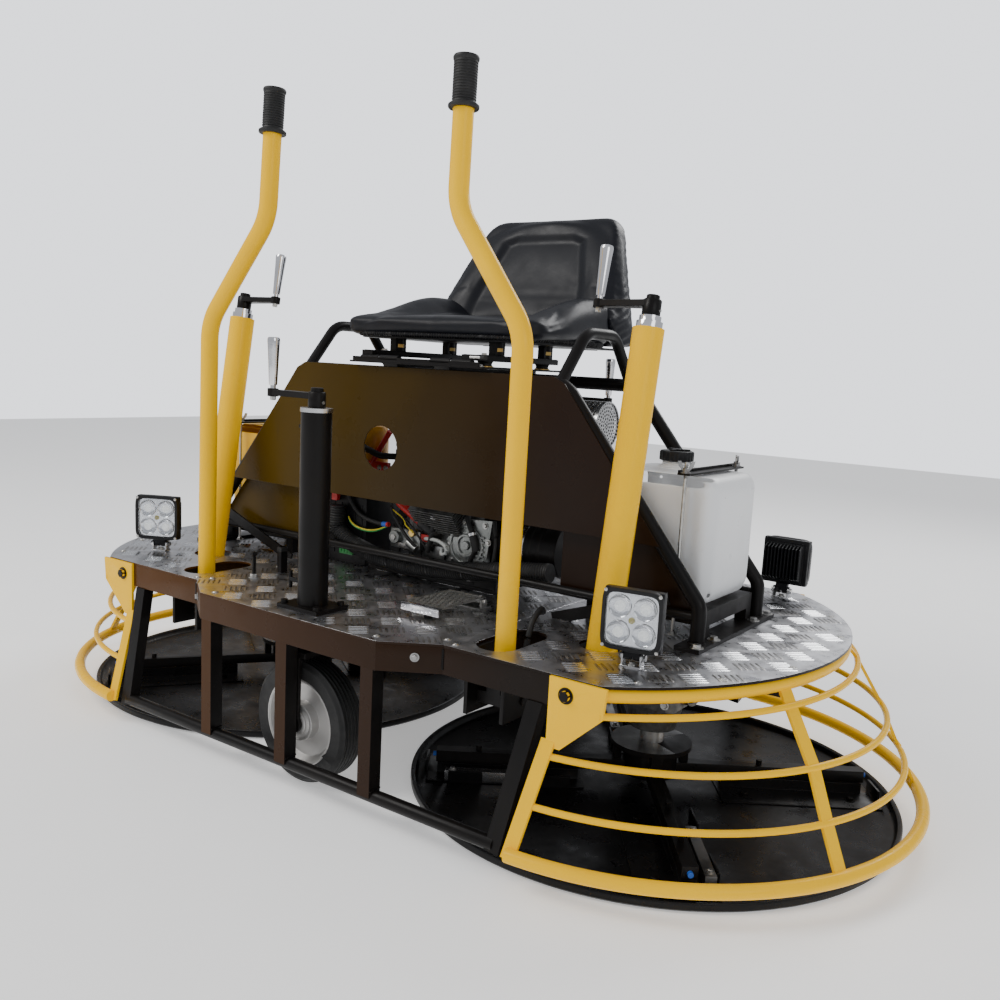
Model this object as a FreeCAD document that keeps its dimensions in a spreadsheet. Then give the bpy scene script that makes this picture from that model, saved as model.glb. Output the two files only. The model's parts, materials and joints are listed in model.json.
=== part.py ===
import FreeCAD, Part
import Sketcher
import math
import os
import re

V = FreeCAD.Vector
DOC = FreeCAD.newDocument("power_trowel")

# Driving sizes in mm. The object stands on its two float pans: +X runs along the
# row of rotors, the operator faces -Y, +Z is up, and the origin is on the floor.
DIMS = [
    ("rotor_x", 540), ("pan_r", 500), ("pan_t", 3), ("pan_rim", 18), ("pan_flat_r", 484),
    ("deck_z", 358), ("deck_t", 5), ("beam_h", 50), ("beam_w", 25), ("plat_y", 538),
    ("plat_x", 245), ("seam_x", 345), ("lobe_y", 470), ("lobe_cx", 318), ("lobe_r", 585),
    ("slot_x", 180), ("slot_y", 95), ("spine_y", 110), ("spine_w", 40), ("spine_x", 850),
    ("rail_z", 57), ("rail_r", 13), ("rail_y", 523), ("rail_x", 515), ("post_w", 30),
    ("post_x", 225), ("leg_top_x", 546), ("tube_wall", 3),
    ("ring_cx", 525), ("ring_rad", 545), ("ring_z", 60), ("ring_tube", 12.5),
    ("rod_tube", 6), ("rod_z_low", 138), ("rod_z_mid", 219), ("rod_z_top", 309),
    ("rod_x_low", 1029), ("rod_x_mid", 988), ("rod_x_top", 919),
    ("stay_x_low", 565), ("stay_y_low", 507), ("stay_x_mid", 574), ("stay_y_mid", 479),
    ("stay_x_top", 668), ("top_tube", 13), ("lug_t", 6),
    ("hoop_y", 146), ("hoop_r", 14), ("hoop_foot_x", 683), ("hoop_bend_z", 435),
    ("hoop_apex_x", 365), ("hoop_top_z", 823), ("loop_x", 352), ("loop_r", 12),
    ("loop_top_z", 926), ("low_tube_r", 9), ("low_tube_z", 414), ("foot_t", 8),
    ("cover_t", 3), ("cover_low_z", 536), ("peep_x", -101), ("peep_z", 655), ("peep_r", 50),
    ("tank_x_in", 432), ("tank_x_out", 680), ("tank_y_in", 112), ("tank_y_out", 112),
    ("tank_z", 420), ("tank_h", 250), ("tank_wall", 4), ("tank_round", 32),
    ("cap_x", 535), ("cap_y", 20), ("cap_r", 34), ("neck_r", 27),
    ("column_x", 552), ("column_y", 265), ("column_r", 29), ("column_len", 580),
    ("column_lean", 8.6), ("column_seat_z", 335), ("spindle_r", 10), ("run_gap", 0.05),
    ("crank_arm", 110), ("jack_crank_arm", 124), ("grip_len", 100), ("crank_hub_r", 17),
    ("jack_y", 457), ("jack_r", 30), ("jack_top", 745), ("jack_leg_r", 22),
    ("wheel_r", 125), ("wheel_w", 66), ("wheel_z", 128), ("rim_r", 90), ("axle_r", 10),
    ("lever_x", 420), ("lever_y", 386), ("lever_r", 19), ("lever_pivot_z", 262),
    ("tilt_pivot_z", 296), ("lever_bend1_z", 912), ("lever_bend2_z", 1126),
    ("lever_top_x", 247), ("lever_grip_z", 1295), ("lever_top_z", 1385), ("pivot_r", 8),
    ("ear_gap", 36), ("ear_t", 8), ("box_z", 190), ("box_top", 303), ("shaft_z", 245),
    ("box_half", 75), ("mast_r", 25), ("shaft_r", 12), ("pulley_x", -130),
    ("pulley_w", 26), ("pulley_low_r", 75), ("pulley_high_r", 55), ("pulley_high_z", 450),
    ("belt_t", 8), ("belt_gap", 0.4), ("arm_r", 14), ("arm_z", 42), ("blade_in", 140),
    ("blade_out", 465), ("blade_w", 140), ("blade_t", 3), ("blade_turn", 35.5),
    ("bar_w", 28), ("bar_h", 22), ("lamp", 108), ("lamp_t", 26), ("lamp_pivot_z", 375),
    ("lamp_front_x", 650), ("lamp_front_y", 335), ("lamp_rear_x", 650), ("lamp_rear_y", 397),
    ("pedal_x", 158), ("pedal_w", 95), ("pedal_y", 208), ("pedal_len", 165),
    ("hinge_y", 172), ("hinge_z", 852), ("hinge_r", 9), ("seat_base_z", 843),
    ("seat_half", 258), ("seat_front", 120), ("seat_low_z", 905), ("seat_high_z", 1012),
    ("back_half", 268), ("back_low_z", 909), ("back_top_z", 1222),
]
NAMES = set(name for name, value in DIMS)
WORD = re.compile(r"[A-Za-z_][A-Za-z_0-9]*")
KEEP = []


def make_sheet():
    sheet = DOC.addObject("Spreadsheet::Sheet", "Dims")
    for row, (name, value) in enumerate(DIMS, 1):
        sheet.set("A%d" % row, name)
        sheet.set("B%d" % row, str(value))
        sheet.setAlias("B%d" % row, name)
    DOC.recompute()
    return sheet


SHEET = make_sheet()


class Sizes:
    def __getattr__(self, name):
        return float(SHEET.get(name))


D = Sizes()


def sheet_text(text):
    return WORD.sub(lambda m: "Dims." + m.group(0) if m.group(0) in NAMES else m.group(0), text)


def bind(obj, prop, value):
    """Tie one property to the sheet; a plain number is set as it is."""
    if isinstance(value, str):
        obj.setExpression(prop, sheet_text(value))
    else:
        obj.setExpression(prop, repr(float(value)))


def put(obj, x, y, z, turn=None):
    obj.Placement = FreeCAD.Placement(V(0, 0, 0), turn or FreeCAD.Rotation())
    bind(obj, "Placement.Base.x", x)
    bind(obj, "Placement.Base.y", y)
    bind(obj, "Placement.Base.z", z)


TURN = {
    "z": FreeCAD.Rotation(),
    "x": FreeCAD.Rotation(V(0, 1, 0), 90),
    "y": FreeCAD.Rotation(V(1, 0, 0), -90),
}


def add(kind, name):
    obj = DOC.addObject(kind, name)
    obj.Label = name
    return obj


def box(name, size, corner, turn=None):
    obj = add("Part::Box", name)
    for prop, value in zip(("Length", "Width", "Height"), size):
        bind(obj, prop, value)
    put(obj, *corner, turn=turn)
    return obj


def cyl(name, radius, height, foot, axis="z"):
    obj = add("Part::Cylinder", name)
    bind(obj, "Radius", radius)
    bind(obj, "Height", height)
    put(obj, *foot, turn=TURN[axis])
    return obj


def cut(name, base, *tools):
    tool = tools[0] if len(tools) == 1 else fuse(name + "_tool", *tools)
    obj = add("Part::Cut", name)
    obj.Base = base
    obj.Tool = tool
    return obj


def fuse(name, *parts):
    obj = add("Part::MultiFuse", name)
    obj.Shapes = list(parts)
    return obj


def group(name, *parts):
    obj = add("Part::Compound", name)
    obj.Links = list(parts)
    return obj


def mirrored(name, source, normal):
    obj = add("Part::Mirroring", name)
    obj.Source = source
    obj.Base = V(0, 0, 0)
    obj.Normal = normal
    return obj


def mirror_x(name, source):
    return mirrored(name, source, V(1, 0, 0))


def mirror_y(name, source):
    return mirrored(name, source, V(0, 1, 0))


def raw(name, shape):
    obj = add("Part::Feature", name)
    obj.Shape = shape
    return obj


def keep(obj):
    """Mark an object as one sub-part that is written to its own STEP file."""
    KEEP.append(obj)
    return obj


PLANE = {
    "xy": FreeCAD.Rotation(),
    "xz": FreeCAD.Rotation(V(1, 0, 0), 90),
    "yz": FreeCAD.Rotation(V(1, 1, 1), 120),
}


def segment(a, b):
    return Part.LineSegment(V(a[0], a[1], 0), V(b[0], b[1], 0))


def loop(points):
    return [segment(a, b) for a, b in zip(points, points[1:] + points[:1])]


def ring(x, y, r):
    return [Part.Circle(V(x, y, 0), V(0, 0, 1), r)]


def oblong(x, y, half_w, half_l):
    """A slot with round ends, long along the second axis."""
    straight = half_l - half_w
    top = Part.Circle(V(x, y + straight, 0), V(0, 0, 1), half_w)
    low = Part.Circle(V(x, y - straight, 0), V(0, 0, 1), half_w)
    return [
        Part.ArcOfCircle(top, 0, math.pi),
        segment((x - half_w, y + straight), (x - half_w, y - straight)),
        Part.ArcOfCircle(low, math.pi, 2 * math.pi),
        segment((x + half_w, y - straight), (x + half_w, y + straight)),
    ]


def sketch_in(body, name, plane, edges, at):
    sketch = body.newObject("Sketcher::SketchObject", name + "_sketch")
    put(sketch, *at, turn=PLANE[plane])
    sketch.addGeometry(edges, False)
    return sketch


def pad(name, plane, edges, length, at=(0, 0, 0)):
    """A sketch padded along the plane's normal: +Z, -Y or +X."""
    body = add("PartDesign::Body", name)
    sketch = sketch_in(body, name, plane, edges, at)
    solid = body.newObject("PartDesign::Pad", name + "_pad")
    solid.Profile = sketch
    bind(solid, "Length", length)
    return body


def turned(name, points, at, axis="z"):
    """A profile of (radius, height) points revolved about an upright or level axis."""
    body = add("PartDesign::Body", name)
    sketch = sketch_in(body, name, "xz", loop(points), (0, 0, 0))
    solid = body.newObject("PartDesign::Revolution", name + "_turn")
    solid.Profile = sketch
    solid.ReferenceAxis = (sketch, ["V_Axis"])
    solid.Angle = 360
    put(body, *at, turn=TURN[axis])
    return body


def round_edges(body, radius, test):
    """Round the edges of a body's tip that pass the test."""
    DOC.recompute()
    tip = body.Tip
    names = ["Edge%d" % n for n, edge in enumerate(tip.Shape.Edges, 1) if test(edge)]
    fillet = body.newObject("PartDesign::Fillet", body.Name + "_round")
    fillet.Base = (tip, names)
    bind(fillet, "Radius", radius)
    return body


def upright(edge):
    a, b = edge.Vertexes[0].Point, edge.Vertexes[-1].Point
    return abs(a.z - b.z) > 1 and abs(a.x - b.x) < 0.01 and abs(a.y - b.y) < 0.01


def path(points, bend):
    """A wire of straight runs joined by tangent arcs."""
    pts = [V(*p) for p in points]
    bends = bend if isinstance(bend, (list, tuple)) else [bend] * (len(pts) - 2)
    edges = []
    last = pts[0]
    for i in range(1, len(pts) - 1):
        u = (pts[i] - pts[i - 1]).normalize()
        w = (pts[i + 1] - pts[i]).normalize()
        turn = u.getAngle(w)
        if turn < 0.002:
            continue
        reach = bends[i - 1] * math.tan(turn / 2)
        start = pts[i] - u * reach
        end = pts[i] + w * reach
        inward = (w - u).normalize()
        centre = pts[i] + inward * (bends[i - 1] / math.cos(turn / 2))
        middle = centre - inward * bends[i - 1]
        edges.append(Part.makeLine(last, start))
        edges.append(Part.Arc(start, middle, end).toShape())
        last = end
    edges.append(Part.makeLine(last, pts[-1]))
    return Part.Wire(edges)


def sweep(points, bend, radius):
    wire = path(points, bend)
    start = V(*points[0])
    along = V(*points[1]) - start
    profile = Part.Wire([Part.Circle(start, along, radius).toShape()])
    return wire.makePipeShell([profile], True, False)


def pipe(points, bend, radius, wall=0):
    solid = sweep(points, bend, radius)
    if wall:
        solid = solid.cut(sweep(points, bend, radius - wall))
    return solid


def bar(a, b, wide, thick, across):
    """A flat or square bar between two points, its wide face along 'across'."""
    a, b = V(*a), V(*b)
    along = b - a
    length = along.Length
    along.normalize()
    side = V(*across)
    side = (side - along * side.dot(along)).normalize()
    up = along.cross(side)
    solid = Part.makeBox(wide, thick, length, V(-wide / 2, -thick / 2, 0))
    frame = FreeCAD.Matrix(side.x, up.x, along.x, a.x, side.y, up.y, along.y, a.y,
                           side.z, up.z, along.z, a.z, 0, 0, 0, 1)
    if frame.determinant() < 0:
        frame = FreeCAD.Matrix(side.x, -up.x, along.x, a.x, side.y, -up.y, along.y, a.y,
                               side.z, -up.z, along.z, a.z, 0, 0, 0, 1)
    solid.transformShape(frame)
    return solid


def one(shapes):
    """Weld several shapes into one."""
    return shapes[0].multiFuse(shapes[1:]).removeSplitter()


# ------------------------------------------------------------------ frame and deck
def ear(name, x):
    """A pivot ear that hangs from the front edge beam and carries a lever pin."""
    plate = box(name + "_plate", ("ear_t", 98, "deck_z - deck_t - 232"), (x, -445, 232))
    hole = cyl(name + "_hole", "pivot_r + run_gap", 40, (x + " - 10", "-lever_y", "lever_pivot_z"), "x")
    return cut(name, plate, hole)


def edge_beams(side):
    """Beams under one long edge of the deck, front or rear."""
    low = "deck_z - deck_t - beam_h"
    straight = box("plat_beam_%d" % (side > 0), ("2 * plat_x", "beam_w", "beam_h"),
                   ("-plat_x", "plat_y - beam_w" if side > 0 else "-plat_y", low))
    parts = [straight]
    for hand in (1, -1):
        tag = "%d%d" % (side > 0, hand > 0)
        x0, x1 = D.plat_x * hand, D.seam_x * hand
        y0, y1 = D.plat_y * side, D.lobe_y * side
        inner = D.beam_w * side
        quad = loop([(x0, y0), (x1, y1), (x1, y1 - inner), (x0, y0 - inner)])
        parts.append(pad("slant_beam_" + tag, "xy", quad, "beam_h", (0, 0, low)))
        end = "seam_x" if hand > 0 else "-645"
        parts.append(box("lobe_beam_" + tag, ("645 - seam_x", "beam_w", "beam_h"),
                         (end, "lobe_y - beam_w" if side > 0 else "-lobe_y", low)))
    return parts


def main_frame():
    low = "deck_z - deck_t - beam_h"
    parts = edge_beams(1) + edge_beams(-1)
    for tag, y in (("a", "spine_y"), ("b", "-spine_y - spine_w")):
        parts.append(box("spine_" + tag, ("2 * spine_x", "spine_w", "beam_h"), ("-spine_x", y, low)))
    for tag, x in (("a", "seam_x - 15"), ("b", "-seam_x - 15")):
        parts.append(box("cross_" + tag, (30, "2 * lobe_y - 2 * beam_w + 2", "beam_h"),
                         (x, "-lobe_y + beam_w - 1", low)))
    for tag, x, y in (("a", "50", "-plat_y + beam_w - 1"), ("b", "-75", "-plat_y + beam_w - 1"),
                      ("c", "50", "spine_y + spine_w - 1"), ("d", "-75", "spine_y + spine_w - 1")):
        parts.append(box("jack_beam_" + tag, (25, "plat_y - beam_w - spine_y - spine_w + 2", "beam_h"),
                         (x, y, low)))
    for tag, x in (("a", "column_x - 30"), ("b", "-column_x - 30")):
        parts.append(box("column_beam_" + tag, (60, "lobe_y - beam_w - spine_y - spine_w + 2",
                         "column_seat_z - box_top"), (x, "-lobe_y + beam_w - 1", low)))
    for tag, x in (("a", "lever_x + ear_gap"), ("b", "lever_x - ear_gap - ear_t"),
                   ("c", "-lever_x + ear_gap"), ("d", "-lever_x - ear_gap - ear_t")):
        parts.append(ear("ear_" + tag, x))
    welded = fuse("frame_welded", *parts)
    hollows = []
    for tag, y in (("a", "spine_y + tube_wall"), ("b", "-spine_y - spine_w + tube_wall")):
        hollows.append(box("spine_hollow_" + tag, ("2 * spine_x + 2", "spine_w - 2 * tube_wall",
                           "beam_h - 2 * tube_wall"), ("-spine_x - 1", y, low + " + tube_wall")))
    keep(cut("main_frame", welded, *hollows))


def bumper():
    """Bottom rail, three posts and two slanted legs under the front edge."""
    rail = pipe([(-D.rail_x, -D.rail_y, D.rail_z), (D.rail_x, -D.rail_y, D.rail_z)], 1,
                D.rail_r, D.tube_wall)
    under = D.deck_z - D.deck_t - D.beam_h
    shapes = [rail]
    core = Part.makeCylinder(D.rail_r - D.tube_wall, 2 * D.rail_x + 20,
                             V(-D.rail_x - 10, -D.rail_y, D.rail_z), V(1, 0, 0))
    for x in (-D.post_x, 0, D.post_x):
        post = Part.makeBox(D.post_w, D.post_w, under - D.rail_z,
                            V(x - D.post_w / 2, -D.plat_y, D.rail_z))
        shapes.append(post.cut(core))
    for side in (-1, 1):
        foot = (side * D.rail_x, -D.rail_y, D.rail_z - D.rail_r)
        head = (side * D.leg_top_x, -D.lobe_y + D.beam_w / 2, under + 8)
        leg = bar(foot, head, D.post_w, D.beam_w, (1, 0, 0))
        trim = Part.makeBox(200, 200, 60, V(side * D.leg_top_x - 100, -D.lobe_y - 100, under))
        shapes.append(leg.cut(trim))
    front = raw("front_bumper", one(shapes))
    keep(front)
    keep(mirror_y("rear_bumper", front))


def lens(x, y, half_w, half_l):
    return oblong(x, y, half_w, half_l)


def deck_center():
    px, py, sx, ly = D.plat_x, D.plat_y, D.seam_x, D.lobe_y
    edge = [(-px, -py), (px, -py), (sx, -ly), (sx, ly), (px, py), (-px, py), (-sx, ly), (-sx, -ly)]
    slot = [(-D.slot_x, -D.slot_y), (D.slot_x, -D.slot_y), (D.slot_x, D.slot_y), (-D.slot_x, D.slot_y)]
    holes = ring(0, -D.jack_y, D.jack_leg_r + 3) + ring(0, D.jack_y, D.jack_leg_r + 3)
    keep(pad("center_deck_plate", "xy", loop(edge) + loop(slot) + holes, "deck_t",
             (0, 0, "deck_z - deck_t")))


def deck_lobe():
    reach = math.sqrt(D.lobe_r ** 2 - D.lobe_y ** 2)
    half = math.atan2(D.lobe_y, reach)
    disc = Part.Circle(V(D.lobe_cx, 0, 0), V(0, 0, 1), D.lobe_r)
    corner = D.lobe_cx + reach
    edges = [
        segment((D.seam_x, D.lobe_y), (D.seam_x, -D.lobe_y)),
        segment((D.seam_x, -D.lobe_y), (corner, -D.lobe_y)),
        Part.ArcOfCircle(disc, -half, half),
        segment((corner, D.lobe_y), (D.seam_x, D.lobe_y)),
    ]
    edges += lens(D.lever_x - 5, -D.lever_y + 30, 40, 84)
    edges += ring(D.column_x, -D.column_y + 3, 44)
    right = pad("right_deck_plate", "xy", edges, "deck_t", (0, 0, "deck_z - deck_t"))
    keep(right)
    keep(mirror_x("left_deck_plate", right))


def ring_centre(outer_x, end_x, end_y):
    """Centre on the X axis of the circle through an end point and an outermost point."""
    top = outer_x ** 2 - end_x ** 2 - end_y ** 2
    return top / (2 * (outer_x - end_x))


def hoop_arc(centre, radius, z, end_angle, tube, wall=0):
    """A level tube bent to an arc that opens towards the middle of the machine."""
    start = V(centre + radius * math.cos(end_angle), -radius * math.sin(end_angle), z)
    along = V(math.sin(end_angle), math.cos(end_angle), 0)
    face = Part.Face(Part.Wire([Part.Circle(start, along, tube).toShape()]))
    if wall:
        face = face.cut(Part.Face(Part.Wire([Part.Circle(start, along, tube - wall).toShape()])))
    return face.revolve(V(centre, 0, 0), V(0, 0, 1), 2 * math.degrees(end_angle))


def guard_rows():
    """The guard's level tubes from the bottom up: centre, radius, height, end angle, tube."""
    rows = [(D.ring_cx, D.ring_rad, D.ring_z, math.acos(28 / D.ring_rad), D.ring_tube)]
    ends = ((D.rod_x_low, D.stay_x_low, D.stay_y_low, D.rod_z_low),
            (D.rod_x_mid, D.stay_x_mid, D.stay_y_mid, D.rod_z_mid),
            (D.rod_x_top, D.stay_x_top, D.lobe_y + D.lug_t / 2, D.rod_z_top))
    for outer_x, end_x, end_y, z in ends:
        cx = ring_centre(outer_x, end_x, end_y)
        rad = outer_x - cx
        rows.append((cx, rad, z, math.atan2(end_y, end_x - cx), D.rod_tube))
    rad = D.lobe_r - D.top_tube
    end = math.acos((D.stay_x_top - 5 - D.lobe_cx) / rad)
    rows.append((D.lobe_cx, rad, D.deck_z - D.deck_t - D.top_tube, end, D.top_tube))
    return rows


def guard():
    rows = guard_rows()
    shapes = []
    for cx, rad, z, end, tube in rows:
        shapes.append(hoop_arc(cx, rad, z, end, tube))
    for side in (-1, 1):
        knots = []
        for n, (cx, rad, z, end, tube) in enumerate(rows):
            y = 247 - (247 - 181) * n / 4
            knots.append((cx + math.sqrt(rad * rad - y * y), side * y, z))
        for a, b in zip(knots, knots[1:]):
            shapes.append(bar(a, b, 26, 6, (-side * 0.38, 0.925, 0)))
        foot = (553, side * 541, D.ring_z - 10)
        head = (577, side * (D.lobe_y + D.lug_t / 2), 245)
        shapes.append(bar(foot, head, 26, 6, (1, 0, 0)))
        face = [(573, 356), (680, 356), (676, 304), (600, 234), (573, 234)]
        wire = Part.makePolygon([V(x, side * (D.lobe_y + D.lug_t), z) for x, z in face + face[:1]])
        lug = Part.Face(wire).extrude(V(0, -side * D.lug_t, 0))
        shapes.append(lug)
        shapes.append(Part.makeCylinder(9, 7, V(606, side * (D.lobe_y + D.lug_t), 329), V(0, side, 0)))
    right = raw("right_guard", one(shapes))
    keep(right)
    keep(mirror_x("left_guard", right))


# ------------------------------------------------------------------ seat frame, covers
def hoop_path(y):
    base = D.deck_z + D.foot_t
    return [(-D.hoop_foot_x, y, base), (-D.hoop_foot_x, y, D.hoop_bend_z),
            (-D.hoop_apex_x, y, D.hoop_top_z), (D.hoop_apex_x, y, D.hoop_top_z),
            (D.hoop_foot_x, y, D.hoop_bend_z), (D.hoop_foot_x, y, base)]


def tray(side):
    """Angle-iron tray on legs under one tank."""
    x0, x1 = D.tank_x_in - 4, D.tank_x_out + 3
    y0, y1 = -D.tank_y_in - 4, D.tank_y_out + 4
    z = D.tank_z
    sheet = Part.makeBox(x1 - x0, y1 - y0, 4, V(x0, y0, z - 4))
    sheet = sheet.cut(Part.makeBox(x1 - x0 - 60, y1 - y0 - 60, 4, V(x0 + 30, y0 + 30, z - 4)))
    parts = [sheet]
    for x in (x0, x1 - 4):
        parts.append(Part.makeBox(4, y1 - y0, 30, V(x, y0, z - 30)))
    for y in (y0, y1 - 4):
        parts.append(Part.makeBox(x1 - x0, 4, 30, V(x0, y, z - 30)))
    for x, foot in ((x0, D.deck_z), (x1 - 24, D.deck_z + D.foot_t)):
        for y in (y0, y1 - 24):
            parts.append(Part.makeBox(24, 24, z - foot - 4, V(x, y, foot)))
    solid = one(parts)
    return solid if side > 0 else solid.mirror(V(0, 0, 0), V(1, 0, 0))


def seat_frame():
    shapes = []
    for y in (-D.hoop_y, D.hoop_y):
        shapes.append(pipe(hoop_path(y), [34, 60, 60, 34], D.hoop_r, D.tube_wall))
        low = pipe([(-D.hoop_foot_x, y, D.low_tube_z), (D.hoop_foot_x, y, D.low_tube_z)], 1, D.low_tube_r)
        shapes.append(low)
    hollow = []
    for y in (-D.hoop_y, D.hoop_y):
        hollow.append(sweep(hoop_path(y), [34, 60, 60, 34], D.hoop_r - D.tube_wall))
    for side in (-1, 1):
        x = side * D.loop_x
        top = D.loop_top_z
        side_loop = pipe([(x, -D.hoop_y, D.hoop_top_z), (x, -58, top), (x, 58, top),
                          (x, D.hoop_y, D.hoop_top_z)], 55, D.loop_r, D.tube_wall)
        shapes.append(side_loop)
        shapes.append(Part.makeBox(50, 380, D.foot_t, V(side * D.hoop_foot_x - 25, -190, D.deck_z)))
        shapes.append(tray(side))
        x = side * 72 - 20
        shapes.append(Part.makeBox(40, 2 * D.hoop_y + 26, 6, V(x, -D.hoop_y - 13, D.hoop_top_z + D.hoop_r)))
        for y in (-D.hoop_y - 8, D.hoop_y - 8):
            shapes.append(Part.makeBox(40, 16, 8, V(x, y, D.hoop_top_z + 8)))
        barrel = Part.makeCylinder(D.hinge_r, 52, V(side * 72 - 26, -D.hinge_y, D.hinge_z), V(1, 0, 0))
        web = Part.makeBox(40, 16, 10, V(x, -D.hinge_y + 1, D.hinge_z - 15))
        bore = Part.makeCylinder(4 + D.run_gap, 60, V(side * 72 - 30, -D.hinge_y, D.hinge_z), V(1, 0, 0))
        shapes.append(barrel.fuse(web).cut(bore))
        foot = (side * 380, -D.hoop_y - 18, D.deck_z)
        head = (side * 625, -D.hoop_y - 10, 442)
        stay = bar(foot, head, 24, 5, (0, 0, 1))
        shapes.append(stay.cut(Part.makeBox(200, 100, 40, V(side * 380 - 100, -D.hoop_y - 70, D.deck_z - 40))))
    frame = one(shapes)
    for core in hollow:
        frame = frame.cut(core)
    biggest = sorted(frame.Solids, key=lambda s: -s.Volume)[0]
    keep(raw("seat_frame", biggest))


def front_cover():
    top, ax = D.hoop_top_z, D.hoop_apex_x
    slope = (D.hoop_foot_x - ax) / (top - D.hoop_bend_z)
    low = D.cover_low_z
    wide = ax + slope * (top - low)
    face = [(-wide, low), (wide, low), (ax + 8, top), (ax - 18, top + 13),
            (-ax + 18, top + 13), (-ax - 8, top)]
    keep(pad("front_cover", "xz", loop(face) + ring(D.peep_x, D.peep_z, D.peep_r), "cover_t",
             (0, "-hoop_y - hoop_r", 0)))


def lower_covers():
    face = [(373, 550), (570, 550), (664, 436), (664, 400), (373, 400)]
    right = pad("right_lower_cover", "xz", loop(face), "cover_t", (0, "-hoop_y + hoop_r + cover_t", 0))
    keep(right)
    keep(mirror_x("left_lower_cover", right))


# ------------------------------------------------------------------ engine bay
def engine_block():
    """The crankcase on its two feet, the twin barrels, the air cleaner and the blower."""
    base_z = D.deck_z
    shapes = [Part.makeBox(220, 180, 142, V(-80, -80, base_z + 20))]
    for x in (-70, 90):
        shapes.append(Part.makeBox(40, 222, 20, V(x, -98, base_z)))
    for side in (-1, 1):
        barrel = Part.makeBox(110, 84, 136, V(-30, -42, 60))
        for n in range(5):
            barrel = barrel.fuse(Part.makeBox(126, 104, 5, V(-38, -52, 108 + n * 14)))
        barrel.rotate(V(0, 0, 0), V(1, 0, 0), -side * 38)
        barrel.translate(V(0, 10, 420))
        shapes.append(barrel)
    shapes.append(Part.makeBox(150, 120, 60, V(-50, -50, 630)))
    shapes.append(Part.makeBox(60, 60, 90, V(-10, -20, 560)))
    shapes.append(Part.makeCylinder(98, 46, V(138, 10, 484), V(1, 0, 0)))
    return shapes


def fuel_parts():
    """The pump, filter, red bracket and hose on a tray behind the opening in the cover."""
    tray = Part.makeBox(300, 90, 10, V(-320, -30, 575))
    pump = Part.makeCylinder(36, 105, V(-280, 12, 585))
    pump = pump.makeFillet(12, [e for e in pump.Edges if e.CenterOfMass.z > 689])
    canister = Part.makeCylinder(22, 70, V(-188, 22, 585))
    brace = bar((-262, -24, 583), (-196, -24, 682), 16, 8, (0, 1, 0))
    foot = Part.makeBox(80, 12, 22, V(-276, -30, 583))
    hose = pipe([(-316, -20, 660), (-270, -42, 640), (-214, -36, 622), (-160, 0, 622)], [40, 60], 8)
    return [tray, pump, canister, brace, foot, hose]


def engine():
    block = one(engine_block() + fuel_parts())
    bore = Part.makeCylinder(12.5 + D.run_gap, 40, V(-82, 0, D.pulley_high_z), V(1, 0, 0))
    block = block.cut(bore)
    drum = Part.makeCylinder(60, 150, V(184, -40, 470), V(1, 0, 0))
    drum = drum.cut(Part.makeCylinder(54, 6, V(330, -40, 470), V(1, 0, 0)))
    keep(raw("engine", one([block, drum])))


def muffler():
    y, z = 88, 735
    can = Part.makeCylinder(52, 185, V(150, y, z), V(1, 0, 0))
    hole = Part.makeCylinder(46, 6, V(331, y, z), V(1, 0, 0))
    elbow = pipe([(108, y, 640), (108, y, z), (160, y, z)], 30, 17)
    keep(raw("muffler", one([can.cut(hole), elbow])))


def battery():
    case = box("battery_case", (140, 165, 165), (-340, -95, "deck_z"))
    lid = box("battery_lid", (150, 175, 14), (-345, -100, "deck_z + 165"))
    post_a = cyl("battery_post_a", 9, 16, (-315, -60, "deck_z + 179"))
    post_b = cyl("battery_post_b", 9, 16, (-315, 40, "deck_z + 179"))
    keep(fuse("battery", case, lid, post_a, post_b))


def gearbox():
    half = D.box_half
    x = D.rotor_x
    case = Part.makeBox(2 * half, 2 * half, D.box_top - D.box_z - 10, V(x - half, -half, D.box_z))
    case = case.makeFillet(16, [e for e in case.Edges if upright(e)])
    shapes = [case]
    shapes.append(Part.makeBox(200, 2 * (D.spine_y + D.spine_w), 10, V(x - 100, -D.spine_y - D.spine_w,
                                                                     D.box_top - 10)))
    shapes.append(Part.makeCone(62, 48, 60, V(x, 0, D.box_z), V(0, 0, -1)))
    shapes.append(Part.makeCylinder(36, 36, V(x - half - 35, 0, D.shaft_z), V(1, 0, 0)))
    shapes.append(Part.makeCylinder(52, 14, V(x + half, 0, D.shaft_z), V(1, 0, 0)))
    for n in range(6):
        turn = math.radians(60 * n)
        shapes.append(Part.makeCylinder(5, 6, V(x + half + 14, 42 * math.cos(turn),
                                                D.shaft_z + 42 * math.sin(turn)), V(1, 0, 0)))
    for side in (-1, 1):
        shapes.append(Part.makeBox(8, 60, D.box_top - 10 - 215, V(x - 60, side * 105 - 30, 215)))
        shapes.append(Part.makeBox(8, 40, 30, V(x - 60, side * 85 - 20, 215)))
    body = one(shapes)
    body = body.cut(Part.makeCylinder(D.mast_r + D.run_gap, 60, V(x, 0, 128)))
    body = body.cut(Part.makeCylinder(D.shaft_r + D.run_gap, 50, V(x - half - 36, 0, D.shaft_z),
                                      V(1, 0, 0)))
    right = raw("right_gearbox", body)
    keep(right)
    keep(mirror_x("left_gearbox", right))


def pulley_profile(radius, wide):
    rim = radius
    return [(0, -wide / 2), (rim, -wide / 2), (rim, wide / 2), (0, wide / 2)]


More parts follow.
